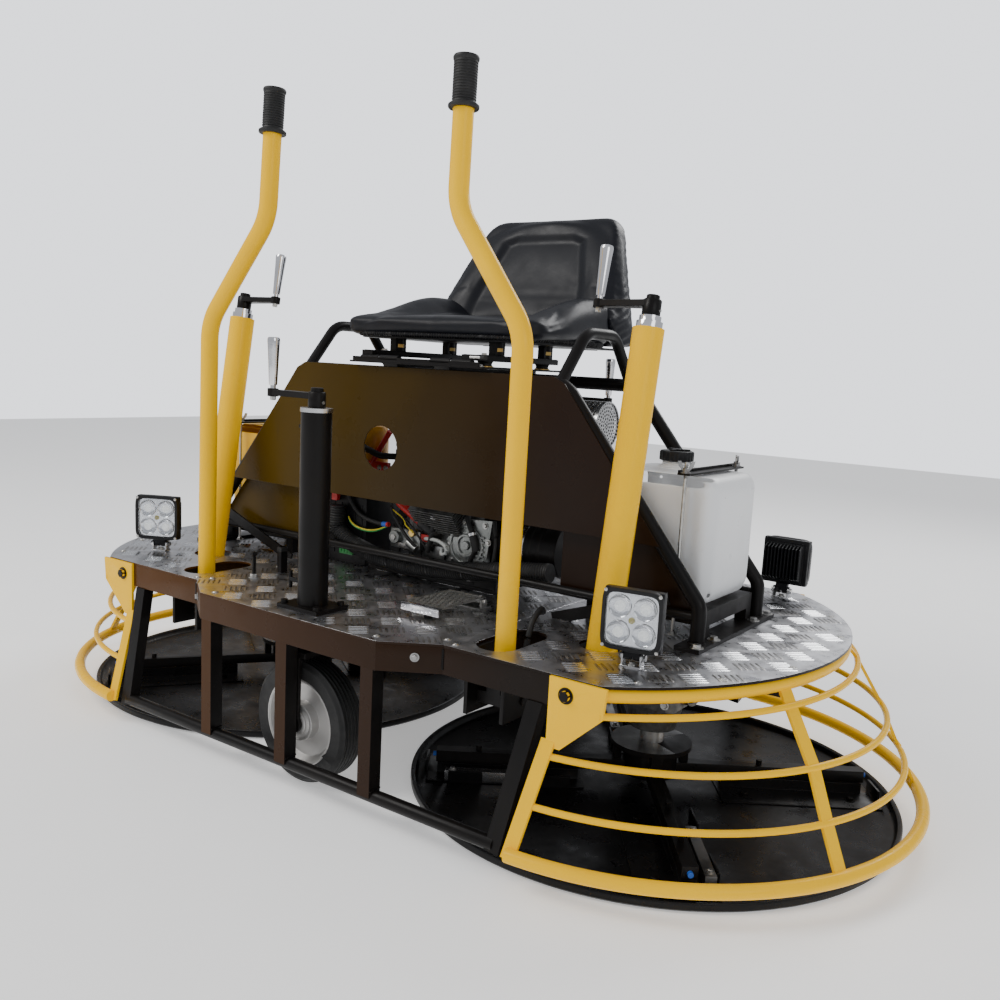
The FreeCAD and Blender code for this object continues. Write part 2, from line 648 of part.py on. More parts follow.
def drive():
    wide = D.pulley_w
    low, high = D.shaft_z, D.pulley_high_z
    shapes = [Part.makeCylinder(D.shaft_r, 2 * (D.rotor_x - D.box_half - 2),
                                V(-D.rotor_x + D.box_half + 2, 0, low), V(1, 0, 0))]
    for side in (-1, 1):
        x = side * (D.rotor_x - D.box_half - 35)
        shapes.append(Part.makeCylinder(26, 14, V(x - side * 1, 0, low), V(-side, 0, 0)))
        shapes.append(Part.makeBox(34, 14, 48, V(x - side * 29 - 17, -7, low - 24)))
        shapes.append(Part.makeCylinder(26, 14, V(x - side * 43, 0, low), V(-side, 0, 0)))
        shapes.append(Part.makeCylinder(16, 230, V(x - side * 57, 0, low), V(-side, 0, 0)))
    shapes.append(Part.makeCylinder(30, 60, V(D.pulley_x - 30, 0, low), V(1, 0, 0)))
    shapes.append(Part.makeCylinder(D.pulley_low_r, wide, V(D.pulley_x - wide / 2, 0, low), V(1, 0, 0)))
    keep(raw("driveshaft", one(shapes)))
    hub = cyl("pulley_hub", 22, 34, ("pulley_x - 17", 0, "pulley_high_z"), "x")
    disc = cyl("pulley_disc", "pulley_high_r", "pulley_w", ("pulley_x - pulley_w / 2", 0, "pulley_high_z"), "x")
    stub = cyl("pulley_stub", 12.5, 88, ("pulley_x - 10", 0, "pulley_high_z"), "x")
    keep(fuse("engine_pulley", hub, disc, stub))
    outer = belt_face(D.belt_gap + D.belt_t)
    inner = belt_face(D.belt_gap)
    ring_solid = outer.cut(inner).extrude(V(wide, 0, 0))
    ring_solid.translate(V(D.pulley_x - wide / 2, 0, 0))
    keep(raw("drive_belt", ring_solid))


def belt_face(extra):
    """Flat outline round both pulleys, 'extra' outside their rims."""
    r0, r1 = D.pulley_low_r + extra, D.pulley_high_r + extra
    z0, z1 = D.shaft_z, D.pulley_high_z
    lift = math.asin((r0 - r1) / (z1 - z0))
    c, s = math.cos(lift), math.sin(lift)
    a, b = V(0, r0 * c, z0 + r0 * s), V(0, r1 * c, z1 + r1 * s)
    edges = [Part.makeLine(a, b), Part.Arc(b, V(0, 0, z1 + r1), V(0, -b.y, b.z)).toShape(),
             Part.makeLine(V(0, -b.y, b.z), V(0, -a.y, a.z)),
             Part.Arc(V(0, -a.y, a.z), V(0, 0, z0 - r0), a).toShape()]
    return Part.Face(Part.Wire(edges))


def tank(name, side):
    """A closed moulded tank with a hollow inside, a neck and rounded edges."""
    x0, wide = D.tank_x_in, D.tank_x_out - D.tank_x_in
    y0, deep = -D.tank_y_in, D.tank_y_in + D.tank_y_out
    wall = D.tank_wall
    shell = Part.makeBox(wide, deep, D.tank_h, V(x0, y0, D.tank_z))
    shell = shell.makeFillet(D.tank_round, shell.Edges)
    shell = shell.fuse(Part.makeCylinder(D.neck_r, 14, V(D.cap_x, D.cap_y, D.tank_z + D.tank_h - 2)))
    core = Part.makeBox(wide - 2 * wall, deep - 2 * wall, D.tank_h - 2 * wall,
                        V(x0 + wall, y0 + wall, D.tank_z + wall))
    core = core.makeFillet(D.tank_round - wall, core.Edges)
    mouth = Part.makeCylinder(D.neck_r - 5, 30, V(D.cap_x, D.cap_y, D.tank_z + D.tank_h - 12))
    solid = shell.cut(core).cut(mouth)
    if side < 0:
        solid = solid.mirror(V(0, 0, 0), V(1, 0, 0))
    keep(raw(name, solid))


def tank_cap():
    top = D.tank_z + D.tank_h + 12
    r, n = D.cap_r, D.neck_r - 5.1
    right = turned("fuel_cap", [(0, -16), (n, -16), (n, 0), (r, 0), (r, 18), (r - 4, 24), (0, 24)],
                   ("cap_x", "cap_y", top))
    keep(right)
    keep(mirror_x("water_cap", right))


def strap():
    """Hold-down bar over a tank on two threaded rods with wing nuts."""
    x, top = 622, D.tank_z + D.tank_h
    y0, y1 = -D.tank_y_in - 10, D.tank_y_out + 10
    rods = [Part.makeCylinder(3.5, top + 28 - D.tank_z + 26, V(x, y, D.tank_z - 26)) for y in (y0, y1)]
    flat = Part.makeBox(20, y1 - y0 + 20, 4, V(x - 10, y0 - 10, top))
    parts = rods + [flat]
    for y in (y0, y1):
        parts.append(Part.makeCylinder(7, 9, V(x, y, top + 4)))
        for turn in (-1, 1):
            parts.append(bar((x, y, top + 8), (x + turn * 16, y, top + 26), 9, 3, (0, 1, 0)))
        parts.append(Part.makeBox(14, 12, 6, V(x - 7, y - 6, D.tank_z - 22)))
    right = one(parts)
    keep(raw("tank_straps", Part.makeCompound([right, right.mirror(V(0, 0, 0), V(1, 0, 0))])))


# ------------------------------------------------------------------ columns and jacks
def lean(shape):
    """Stand a shape built about +Z at the leaning column's foot."""
    shape.rotate(V(0, 0, 0), V(1, 0, 0), -D.column_lean)
    shape.translate(V(D.column_x, -D.column_y, D.deck_z))
    return shape


def column():
    length = D.column_len
    tube = Part.makeCylinder(D.column_r, length + 60, V(0, 0, -60))
    tube = tube.cut(Part.makeCylinder(D.column_r - 4, length + 30, V(0, 0, -60)))
    collar = Part.makeCylinder(24, 12, V(0, 0, length))
    collar = collar.fuse(Part.makeCylinder(20, 10, V(0, 0, length + 12)))
    spindle_hole = Part.makeCylinder(D.spindle_r + D.run_gap, 80, V(0, 0, length - 40))
    body = tube.fuse(collar).cut(spindle_hole)
    for z in (60, 90):
        body = body.fuse(Part.makeCylinder(5, 6, V(D.column_r - 2, 0, z), V(1, 0, 0)))
    body = lean(body)
    under = Part.makeBox(300, 300, 100, V(D.column_x - 150, -D.column_y - 150, D.column_seat_z - 100))
    right = raw("right_pitch_column", body.cut(under).removeSplitter())
    keep(right)
    keep(mirror_x("left_pitch_column", right))


def crank_shape(arm, spindle_r, spindle_len):
    """A crank about +Z: spindle down, hub, arm towards -X and an upright handle."""
    hub = Part.makeCylinder(D.crank_hub_r, 30)
    tail = Part.makeCylinder(D.crank_hub_r - 5, 8, V(0, 0, 30))
    spindle = Part.makeCylinder(spindle_r, spindle_len, V(0, 0, -spindle_len))
    flat = Part.makePolygon([V(6, -14, 0), V(6, 14, 0), V(-arm - 10, 9, 0), V(-arm - 10, -9, 0),
                             V(6, -14, 0)])
    web = Part.Face(flat).extrude(V(0, 0, 12))
    web.translate(V(0, 0, 16))
    eye = Part.makeCylinder(11, 16, V(-arm, 0, 14))
    stud = Part.makeCylinder(6, 12, V(-arm, 0, 28))
    nut = Part.makeCylinder(6, 10, V(-arm, 0, 5))
    grip = Part.makeCone(8, 12.5, D.grip_len - 12, V(-arm, 0, 36))
    crown = Part.makeCone(12.5, 9, 6, V(-arm, 0, 36 + D.grip_len - 12))
    return one([hub, tail, spindle, web, eye, stud, nut, grip, crown])


def cranks():
    right = crank_shape(D.crank_arm, D.spindle_r, 50)
    right.translate(V(0, 0, D.column_len + 22.5))
    right = raw("right_pitch_crank", lean(right))
    keep(right)
    keep(mirror_x("left_pitch_crank", right))
    front = crank_shape(D.jack_crank_arm, 8, 40)
    front.translate(V(0, -D.jack_y, D.jack_top + 8.5))
    keep(raw("front_jack_crank", front))
    rear = crank_shape(D.jack_crank_arm, 8, 40)
    rear.rotate(V(0, 0, 0), V(0, 0, 1), 180)
    rear.translate(V(0, D.jack_y, D.jack_top + 8.5))
    keep(raw("rear_jack_crank", rear))


def jack_tube():
    base = D.deck_z + 8
    plate = Part.makeBox(110, 86, 8, V(-55, -D.jack_y - 43, D.deck_z))
    tube = Part.makeCylinder(D.jack_r, D.jack_top - base, V(0, -D.jack_y, base))
    core = Part.makeCylinder(D.jack_r - 4, D.jack_top - base - 80, V(0, -D.jack_y, base + 60))
    guide = Part.makeCylinder(D.jack_leg_r + D.run_gap, 80, V(0, -D.jack_y, D.deck_z - 2))
    collar = Part.makeCylinder(D.jack_r + 1.5, 8, V(0, -D.jack_y, D.jack_top))
    neck = Part.makeCylinder(8 + D.run_gap, 60, V(0, -D.jack_y, D.jack_top - 40))
    body = one([plate, tube, collar]).cut(core).cut(guide).cut(neck)
    extras = []
    for x in (-45, 45):
        for y in (-33, 33):
            extras.append(Part.makeCylinder(7, 7, V(x, -D.jack_y + y, base)))
    low = base + 40
    for z, reach in ((low, 34), (D.jack_top - 30, 13)):
        extras.append(Part.makeCylinder(5, reach + 2, V(-D.jack_r - reach, -D.jack_y, z), V(1, 0, 0)))
        extras.append(Part.makeCylinder(9, 6, V(-D.jack_r - 4, -D.jack_y, z), V(1, 0, 0)))
    extras.append(Part.makeCylinder(4, 34, V(-D.jack_r - 34, -D.jack_y, low - 17)))
    front = raw("front_jack_tube", one([body] + extras))
    keep(front)
    keep(mirror_y("rear_jack_tube", front))


def jack_leg():
    half = D.wheel_w / 2
    y = -D.jack_y
    bridge = D.wheel_z + D.wheel_r + 14
    leg = Part.makeCylinder(D.jack_leg_r, 640 - bridge, V(0, y, bridge))
    leg = leg.cut(Part.makeCylinder(D.jack_leg_r - 5, 640 - bridge - 20, V(0, y, bridge + 20)))
    shapes = [leg, Part.makeBox(60, 2 * half + 26, 12, V(-30, y - half - 13, bridge))]
    for side in (-1, 1):
        inner = y + side * (half + 5) - (8 if side < 0 else 0)
        shapes.append(Part.makeBox(26, 8, bridge + 12 - D.wheel_z, V(-13, inner, D.wheel_z)))
        face = y + side * (half + 5)
        shapes.append(Part.makeCylinder(18, 8, V(0, face, D.wheel_z), V(0, side, 0)))
    shapes.append(Part.makeCylinder(D.axle_r, 2 * half + 26, V(0, y - half - 13, D.wheel_z), V(0, 1, 0)))
    front = raw("front_jack_leg", one(shapes))
    keep(front)
    keep(mirror_y("rear_jack_leg", front))


def wheel():
    """A stepped aluminium rim with a ribbed rubber tyre bonded on it."""
    half, bore = D.wheel_w / 2, D.axle_r + D.run_gap
    rim_r, hub_r, boss_r = D.rim_r, 24, 38
    front = [(bore, -half - 4), (hub_r, -half - 4), (hub_r, -half), (boss_r, -half + 2),
             (boss_r + 2, -half + 20), (rim_r - 16, -half + 22), (rim_r - 5, -half + 3), (rim_r, -half + 2)]
    back = [(r, -y) for r, y in reversed(front)]
    rim = turned("wheel_rim", front + back, (0, "-jack_y", "wheel_z"), "y")
    ribs = []
    step = (2 * half - 12) / 6
    for n in range(6):
        y = -half + 6 + n * step
        ribs += [(D.wheel_r - 3, y), (D.wheel_r, y + 1.5), (D.wheel_r, y + step - 3), (D.wheel_r - 3, y + step - 1.5)]
    tyre = turned("wheel_tyre", [(rim_r, -half + 2), (D.wheel_r - 9, -half)] + ribs
                  + [(D.wheel_r - 9, half), (rim_r, half - 2)], (0, "-jack_y", "wheel_z"), "y")
    front = group("front_wheel", rim, tyre)
    keep(front)
    keep(mirror_y("rear_wheel", front))


# ------------------------------------------------------------------ levers
def lever_points(foot_z):
    return [(D.lever_x, -D.lever_y, foot_z), (D.lever_x - 2, -D.lever_y + 6, D.lever_bend1_z),
            (D.lever_top_x + 4, -D.lever_y + 20, D.lever_bend2_z),
            (D.lever_top_x, -D.lever_y + 31, D.lever_top_z - 6)]


def lever_tube(foot_z):
    return pipe(lever_points(foot_z), [110, 110], D.lever_r, D.tube_wall)


def lever_grip():
    points = lever_points(0)
    a, b = V(*points[2]), V(*points[3])
    along = (b - a).normalize()
    foot = b - along * (b.z - D.lever_grip_z)
    length = D.lever_top_z - D.lever_grip_z
    solid = Part.makeCylinder(22, length, foot, along)
    solid = solid.fuse(Part.makeCylinder(28, 8, foot, along))
    solid = solid.fuse(Part.makeCylinder(23.5, 8, foot + along * (length - 8), along))
    solid = solid.cut(Part.makeCylinder(D.lever_r + 0.02, length - 6, foot, along))
    return solid.removeSplitter()


def pivot_pin(reach):
    x = D.lever_x
    return Part.makeCylinder(D.pivot_r, 2 * reach, V(x - reach, -D.lever_y, D.lever_pivot_z), V(1, 0, 0))


def levers():
    reach = D.ear_gap + D.ear_t + 4
    tube = lever_tube(D.lever_pivot_z - 17)
    boss = Part.makeCylinder(24, 40, V(D.lever_x, -D.lever_y, D.lever_pivot_z - 22))
    spacer = Part.makeCylinder(14, 2 * D.ear_gap - 2,
                               V(D.lever_x - D.ear_gap + 1, -D.lever_y, D.lever_pivot_z), V(1, 0, 0))
    solid = one([tube, boss, spacer, pivot_pin(reach)])
    keep(raw("left_lever", solid.mirror(V(0, 0, 0), V(1, 0, 0))))
    yoke = yoke_solid(reach)
    keep(raw("right_lever_yoke", yoke))
    upper = lever_tube(D.tilt_pivot_z - 14)
    boss = Part.makeCylinder(21, 30, V(D.lever_x, -D.lever_y, D.tilt_pivot_z - 15))
    pin = Part.makeCylinder(6, 64, V(D.lever_x, -D.lever_y - 32, D.tilt_pivot_z), V(0, 1, 0))
    keep(raw("right_lever", one([upper, boss, pin])))
    grip = lever_grip()
    keep(raw("right_grip", grip))
    keep(mirror_x("left_grip", DOC.getObject("right_grip")))


def yoke_solid(reach):
    x, y = D.lever_x, -D.lever_y
    block = Part.makeBox(2 * D.ear_gap - 2, 60, 22, V(x - D.ear_gap + 1, y - 30, D.lever_pivot_z - 12))
    shapes = [block, pivot_pin(reach)]
    for side in (-1, 1):
        low = y + (22 if side > 0 else -30)
        cheek = Part.makeBox(30, 8, 52, V(x - 15, low, D.lever_pivot_z))
        shapes.append(cheek)
    solid = one(shapes)
    return solid.cut(Part.makeCylinder(6 + D.run_gap, 70, V(x, y - 35, D.tilt_pivot_z), V(0, 1, 0)))


# ------------------------------------------------------------------ rotors
def rotor_hub():
    x = D.rotor_x
    shapes = [Part.makeCylinder(56, 48, V(x, 0, 28)), Part.makeCylinder(D.mast_r, 140, V(x, 0, 30)),
              Part.makeCylinder(84, 10, V(x, 0, 88))]
    for n in range(4):
        turn = D.blade_turn + 90 * n
        arm = Part.makeBox(398, 2 * D.arm_r, 24, V(50, -D.arm_r, D.arm_z - 12))
        knob = Part.makeCylinder(5, 8, V(447, 0, D.arm_z), V(1, 0, 0))
        finger = Part.makeBox(16, 20, 44, V(62, -10, 46))
        bolts = [Part.makeCylinder(6, 12, V(r, 0, D.arm_z + 10)) for r in (230, 360)]
        unit = arm.fuse([knob, finger] + bolts)
        unit.rotate(V(0, 0, 0), V(0, 0, 1), turn)
        unit.translate(V(x, 0, 0))
        shapes.append(unit)
    right = raw("right_rotor_hub", one(shapes))
    keep(right)
    keep(mirror_x("left_rotor_hub", right))


def blade_set():
    """Four steel blades on the pan, each with its bar and end clips."""
    parts = []
    for n in range(4):
        turn = D.blade_turn + 90 * n
        long = D.blade_out - D.blade_in
        plate = Part.makeBox(long, D.blade_w, D.blade_t, V(D.blade_in, -D.blade_w * 0.62, D.pan_t))
        rib = Part.makeBox(long - 30, D.bar_w, D.bar_h, V(D.blade_in + 10, -D.bar_w / 2, D.pan_t + D.blade_t))
        clip = Part.makeBox(70, 5, 26, V(D.blade_in + 30, D.blade_w * 0.38, D.pan_t))
        clip_b = clip.copy()
        clip_b.translate(V(180, 0, 0))
        tip = Part.makeBox(5, 60, 26, V(D.blade_out, -52, D.pan_t))
        unit = plate.fuse([rib, clip, clip_b, tip])
        unit.rotate(V(0, 0, 0), V(0, 0, 1), turn)
        unit.translate(V(D.rotor_x, 0, 0))
        parts.append(unit)
    right = raw("right_blades", Part.makeCompound(parts))
    keep(right)
    keep(mirror_x("left_blades", right))


def pan():
    r, f, t, h = D.pan_r, D.pan_flat_r, D.pan_t, D.pan_rim
    right = turned("right_pan", [(0, 0), (f, 0), (r, h - 3), (r, h), (r - t, h), (r - t - 1, h - 2),
                                 (f - 1, t), (0, t)], ("rotor_x", 0, 0))
    keep(right)
    keep(mirror_x("left_pan", right))


# ------------------------------------------------------------------ lamps, pedal, seat
def lamp_solid():
    """A square work light facing -Y, its tilting pin through the origin."""
    s, t = D.lamp, D.lamp_t
    low = 13
    mid = low + s / 2
    body = Part.makeBox(s, t, s, V(-s / 2, -t, low))
    body = body.makeFillet(15, [e for e in body.Edges if abs(e.Vertexes[0].Y - e.Vertexes[-1].Y) > 5])
    face = Part.makeBox(s - 14, 2, s - 14, V(-s / 2 + 7, -t, low + 7))
    face = face.makeFillet(10, [e for e in face.Edges if abs(e.Vertexes[0].Y - e.Vertexes[-1].Y) > 1])
    body = body.cut(face)
    shapes = [body, Part.makeBox(s - 22, 8, s - 22, V(-s / 2 + 11, 0, low + 11))]
    for n in range(9):
        x = -s / 2 + 13 + n * (s - 30) / 8
        outline = [(0, mid - 44), (26, mid - 34), (26, mid + 34), (0, mid + 44)]
        wire = Part.makePolygon([V(x, y, z) for y, z in outline + outline[:1]])
        shapes.append(Part.Face(wire).extrude(V(4, 0, 0)))
    shapes.append(Part.makeBox(28, 14, low + 4, V(-14, -7, 0)))
    shapes.append(Part.makeCylinder(7, 28, V(-14, 0, 0), V(1, 0, 0)))
    shapes.append(Part.makeCylinder(4, 48, V(-24, 0, 0), V(1, 0, 0)))
    return one(shapes)


def lamp_bracket():
    """The small bent bracket under a light, its ears round the tilting pin."""
    drop = D.lamp_pivot_z - D.deck_z
    shapes = [Part.makeBox(36, 30, 3, V(-18, -15, -drop)),
              Part.makeCylinder(6, 5, V(0, 0, -drop))]
    for side in (-1, 1):
        x = side * 16.5 - 1.5
        shapes.append(Part.makeBox(3, 18, drop, V(x, -9, -drop)))
        shapes.append(Part.makeCylinder(9, 3, V(x, 0, 0), V(1, 0, 0)))
    return one(shapes).cut(Part.makeCylinder(4 + D.run_gap, 60, V(-30, 0, 0), V(1, 0, 0)))


def stand(solid, x, y, turn):
    solid.rotate(V(0, 0, 0), V(0, 0, 1), turn)
    solid.translate(V(x, y, D.lamp_pivot_z))
    return solid


def lamps():
    spots = (("front_right_light", D.lamp_front_x, -D.lamp_front_y, 9),
             ("front_left_light", -D.lamp_front_x - 10, -D.lamp_front_y, 29),
             ("rear_right_light", D.lamp_rear_x, D.lamp_rear_y, 180),
             ("rear_left_light", -D.lamp_rear_x, D.lamp_rear_y, 180))
    brackets = []
    for name, x, y, turn in spots:
        keep(raw(name, stand(lamp_solid(), x, y, turn)))
        brackets.append(stand(lamp_bracket(), x, y, turn))
    keep(raw("light_brackets", Part.makeCompound(brackets)))


def pedal():
    """A foot pedal hinged at its heel, over its base on the deck."""
    x, y, wide = D.pedal_x, -D.pedal_y, D.pedal_w
    hz = D.deck_z + 14
    base = Part.makeBox(wide - 20, 40, 3, V(x + 10, y - 20, D.deck_z))
    ears = []
    for ex in (x + 12, x + wide - 18):
        ears.append(Part.makeBox(6, 16, 19, V(ex, y - 8, D.deck_z)))
    pad_stop = Part.makeCylinder(8, 10, V(x + wide / 2, y - D.pedal_len + 28, D.deck_z))
    body = one([base] + ears).cut(Part.makeCylinder(4 + D.run_gap, wide, V(x, y, hz), V(1, 0, 0)))
    plate = Part.makeBox(wide, D.pedal_len - 14, 3, V(x, y - D.pedal_len, hz + 9))
    lip = Part.makeBox(wide, 3, 16, V(x, y - D.pedal_len, hz - 1))
    knuckle = Part.makeCylinder(6, wide - 42, V(x + 21, y, hz), V(1, 0, 0))
    web = Part.makeBox(wide - 42, 22, 5, V(x + 21, y - 22, hz + 4))
    pin = Part.makeCylinder(4, wide - 22, V(x + 11, y, hz), V(1, 0, 0))
    web2 = Part.makeBox(wide - 42, 8, 12, V(x + 21, y - 24, hz))
    keep(raw("foot_pedal", one([plate, lip, knuckle, web, web2, pin])))
    return [body, pad_stop]


def deck_fasteners(pedal_base):
    shapes = list(pedal_base)
    z = D.deck_z
    spots = [(s * 330, t * 440) for s in (-1, 1) for t in (-1, 1)]
    spots += [(s * 360, t * y) for s in (-1, 1) for t in (-1, 1) for y in (200, 455)]
    spots += [(s * 225, t * 515) for s in (-1, 1) for t in (-1, 1)]
    spots += [(s * 330, t * 250) for s in (-1, 1) for t in (-1, 1)]
    spots += [(s * (D.lobe_cx + 562 * math.cos(a)), t * 562 * math.sin(a))
              for s in (-1, 1) for t in (-1, 1) for a in (0.25, 0.55, 0.82)]
    for x, y in spots:
        shapes.append(Part.makeCylinder(6, 2.5, V(x, y, z)))
    shapes.append(Part.makeCylinder(9, 8, V(-283, -364, z)).fuse(Part.makeCylinder(5, 58, V(-283, -364, z))))
    shapes.append(Part.makeBox(14, 20, 60, V(-289, -292, z)))
    for side in (-1, 1):
        for y in (-176, -100, 100, 176):
            shapes.append(Part.makeCylinder(8, 7, V(side * D.hoop_foot_x + side * 14, y, z + D.foot_t)))
    keep(raw("deck_fasteners", Part.makeCompound(shapes)))


def wiring():
    """The loom's corrugated hose and the throttle cable, clipped along the front."""
    hose = pipe([(-272, -119, 500), (-272, -119, 446), (-226, -119, 418), (-141, -118, 397),
                 (-30, -118, 392), (63, -118, 398), (152, -118, 408), (256, -118, 426), (340, -116, 436)],
                [40, 60, 120, 300, 300, 300, 300], 17)
    cable = pipe([(352, -176, 365), (382, -205, 378), (398, -238, 392), (404, -272, 380),
                  (404, -290, 345), (404, -296, 300)], [30, 30, 30, 24, 40], 6)
    keep(raw("wiring_loom", Part.makeCompound([hose, cable])))


def seat():
    z = D.seat_base_z
    shapes = [Part.makeBox(370, 310, 4, V(-185, -148, z))]
    for side in (-1, 1):
        x = side * 128
        barrel = Part.makeCylinder(D.hinge_r, 52, V(x - 26, -D.hinge_y, D.hinge_z), V(1, 0, 0))
        tab = Part.makeBox(48, 26, 4, V(x - 24, -D.hinge_y, z))
        pin_x = side * 46 if side > 0 else -104
        pin = Part.makeCylinder(4, 58, V(pin_x, -D.hinge_y, D.hinge_z), V(1, 0, 0))
        shapes += [barrel.fuse(tab), pin]
        for y in (-110, 110):
            shapes.append(Part.makeCylinder(15, 12, V(side * 140, y, z + 4)))
        rail = Part.makeBox(30, 300, 12, V(side * 140 - 15, -140, z + 16))
        slot = Part.makeBox(18, 300, 8, V(side * 140 - 9, -140, z + 22))
        shapes.append(rail.cut(slot))
    keep(raw("seat_plate", one(shapes)))
    pan_shapes = [Part.makeBox(460, 400, 5, V(-230, -95, D.seat_low_z - 5))]
    for side in (-1, 1):
        pan_shapes.append(Part.makeBox(17.8, 240, D.seat_low_z - 5 - (z + 22.1), V(side * 140 - 8.9, -90, z + 22.1)))
        arm = bar((side * 150, 303.4, D.seat_low_z - 3), (side * 150, 357.2, 1130), 40, 6, (1, 0, 0))
        pan_shapes.append(arm)
    keep(raw("seat_shell", one(pan_shapes)))
    cushion()
    backrest()


def prism(points, half):
    """A closed outline in the YZ plane, drawn out to both sides."""
    wire = Part.makePolygon([V(-half, y, z) for y, z in points + points[:1]])
    return Part.Face(wire).extrude(V(2 * half, 0, 0))


def cushion():
    """The cushion with a raised bolster along each side."""
    h, low, high, f = D.seat_half, D.seat_low_z, D.seat_high_z, -D.seat_front
    outer = [(f + 6, low), (232, low), (190, high - 46), (211, high - 12), (196, high - 2), (150, high),
             (13, high - 31), (f + 33, high - 55), (f + 2, high - 77), (f, low + 12)]
    inner = [(f - 10, high - 72), (f + 40, high - 62), (180, high - 56), (240, high - 20),
             (240, high + 20), (f - 10, high + 20)]
    solid = prism(outer, h).cut(prism(inner, h - 95))
    keep(raw("seat_cushion", solid))


def backrest():
    """The back leans rearwards and narrows towards its rounded top."""
    h, low, top = D.back_half, D.back_low_z, D.back_top_z
    side = [(236, low), (195, 966), (217, 1000), (238, 1040), (256, 1080), (276, 1120), (297, 1160),
            (318, 1200), (330, top - 6), (350, top), (366, top - 4), (371, top - 14), (300, low)]
    right = [(h, low), (h - 3, 960), (h - 15, 1000), (h - 27, 1040), (h - 38, 1080), (h - 50, 1120),
             (h - 64, 1160), (h - 71, 1180), (h - 82, 1200), (h - 98, 1214), (h - 120, top)]
    outline = right + [(-x, z) for x, z in reversed(right)]
    wire = Part.makePolygon([V(x, 150, z) for x, z in outline + outline[:1]])
    front = Part.Face(wire).extrude(V(0, 260, 0))
    keep(raw("seat_back", prism(side, h + 10).common(front)))


def build():
    main_frame()
    bumper()
    deck_center()
    deck_lobe()
    guard()
    seat_frame()
    front_cover()
    lower_covers()
    engine()
    muffler()
    battery()
    gearbox()
    drive()
    tank("fuel_tank", 1)
    tank("water_tank", -1)
    tank_cap()
    strap()
    column()
    cranks()
    jack_tube()
    jack_leg()
    wheel()
    levers()
    rotor_hub()
    blade_set()
    pan()
    lamps()
    deck_fasteners(pedal())
    wiring()
    seat()


def write_out():
    DOC.recompute()
    os.makedirs("parts", exist_ok=True)
    for obj in DOC.Objects:
        bad = [word for word in obj.State if word in ("Invalid", "Error")]
        if bad:
            raise RuntimeError("%s is %s" % (obj.Label, bad))
    labels = [obj.Label for obj in KEEP]
    if len(set(labels)) != len(labels):
        raise RuntimeError("labels repeat")
    for obj in KEEP:
        shape = obj.Shape
        if shape.isNull() or not shape.isValid() or not shape.Solids:
            raise RuntimeError(obj.Label + " has no valid solid")
        shape.exportStep("parts/%s.step" % obj.Label)
        size = shape.BoundBox
        print("%-20s %2d solids %9.0f cm3  x %7.1f %7.1f  y %7.1f %7.1f  z %7.1f %7.1f" % (
            obj.Label, len(shape.Solids), shape.Volume / 1000, size.XMin, size.XMax,
            size.YMin, size.YMax, size.ZMin, size.ZMax))


build()
write_out()
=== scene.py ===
import bpy, bmesh, math, json, random
from mathutils import Vector, Matrix, noise


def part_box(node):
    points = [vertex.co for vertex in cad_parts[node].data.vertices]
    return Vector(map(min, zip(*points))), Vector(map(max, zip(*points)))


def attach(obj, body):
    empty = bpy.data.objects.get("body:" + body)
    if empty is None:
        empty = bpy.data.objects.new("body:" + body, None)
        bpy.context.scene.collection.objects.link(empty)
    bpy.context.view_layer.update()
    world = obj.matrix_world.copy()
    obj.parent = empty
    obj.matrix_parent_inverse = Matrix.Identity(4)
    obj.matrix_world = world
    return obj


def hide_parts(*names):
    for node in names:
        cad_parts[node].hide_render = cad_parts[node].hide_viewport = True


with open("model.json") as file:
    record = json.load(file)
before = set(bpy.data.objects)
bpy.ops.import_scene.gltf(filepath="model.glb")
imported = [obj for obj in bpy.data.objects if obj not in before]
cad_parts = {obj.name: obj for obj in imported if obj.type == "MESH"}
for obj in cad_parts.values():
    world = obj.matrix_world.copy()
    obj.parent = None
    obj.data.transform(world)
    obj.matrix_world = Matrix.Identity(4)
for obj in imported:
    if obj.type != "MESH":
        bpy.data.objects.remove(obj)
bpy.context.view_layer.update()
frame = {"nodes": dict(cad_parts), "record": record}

NODES = frame["nodes"]
BODY = {n: b for b, ns in frame["record"]["behaviour"]["bodies"].items() for n in ns}
PI = math.pi
rnd = random.Random(7)

LEAN = Vector((0, math.sin(math.radians(8.6)), math.cos(math.radians(8.6))))
COLUMN_FOOT = Vector((0.552, -0.265, 0.358))
JACK_Y, WHEEL_Z = 457, 128
ROTOR_X, TANK_X = 540, 535
PAD_VOXEL = 0.0058
SIDES = ((1, "right"), (-1, "left"))
CORNERS = [(s, t) for s in (-1, 1) for t in (-1, 1)]


# Shapes built here are in millimetres; CAD nodes and the scene are in metres.
def along(place, axis):
    """A frame at a place with its Z axis along a direction."""
    return Matrix.Translation(place) @ Vector(axis).to_track_quat("Z", "Y").to_matrix().to_4x4()


def shift(x, y, z):
    return Matrix.Translation((x, y, z))


def box_mm(node):
    """The two corners of a CAD node's box in millimetres."""
    return [corner * 1000 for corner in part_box(node)]


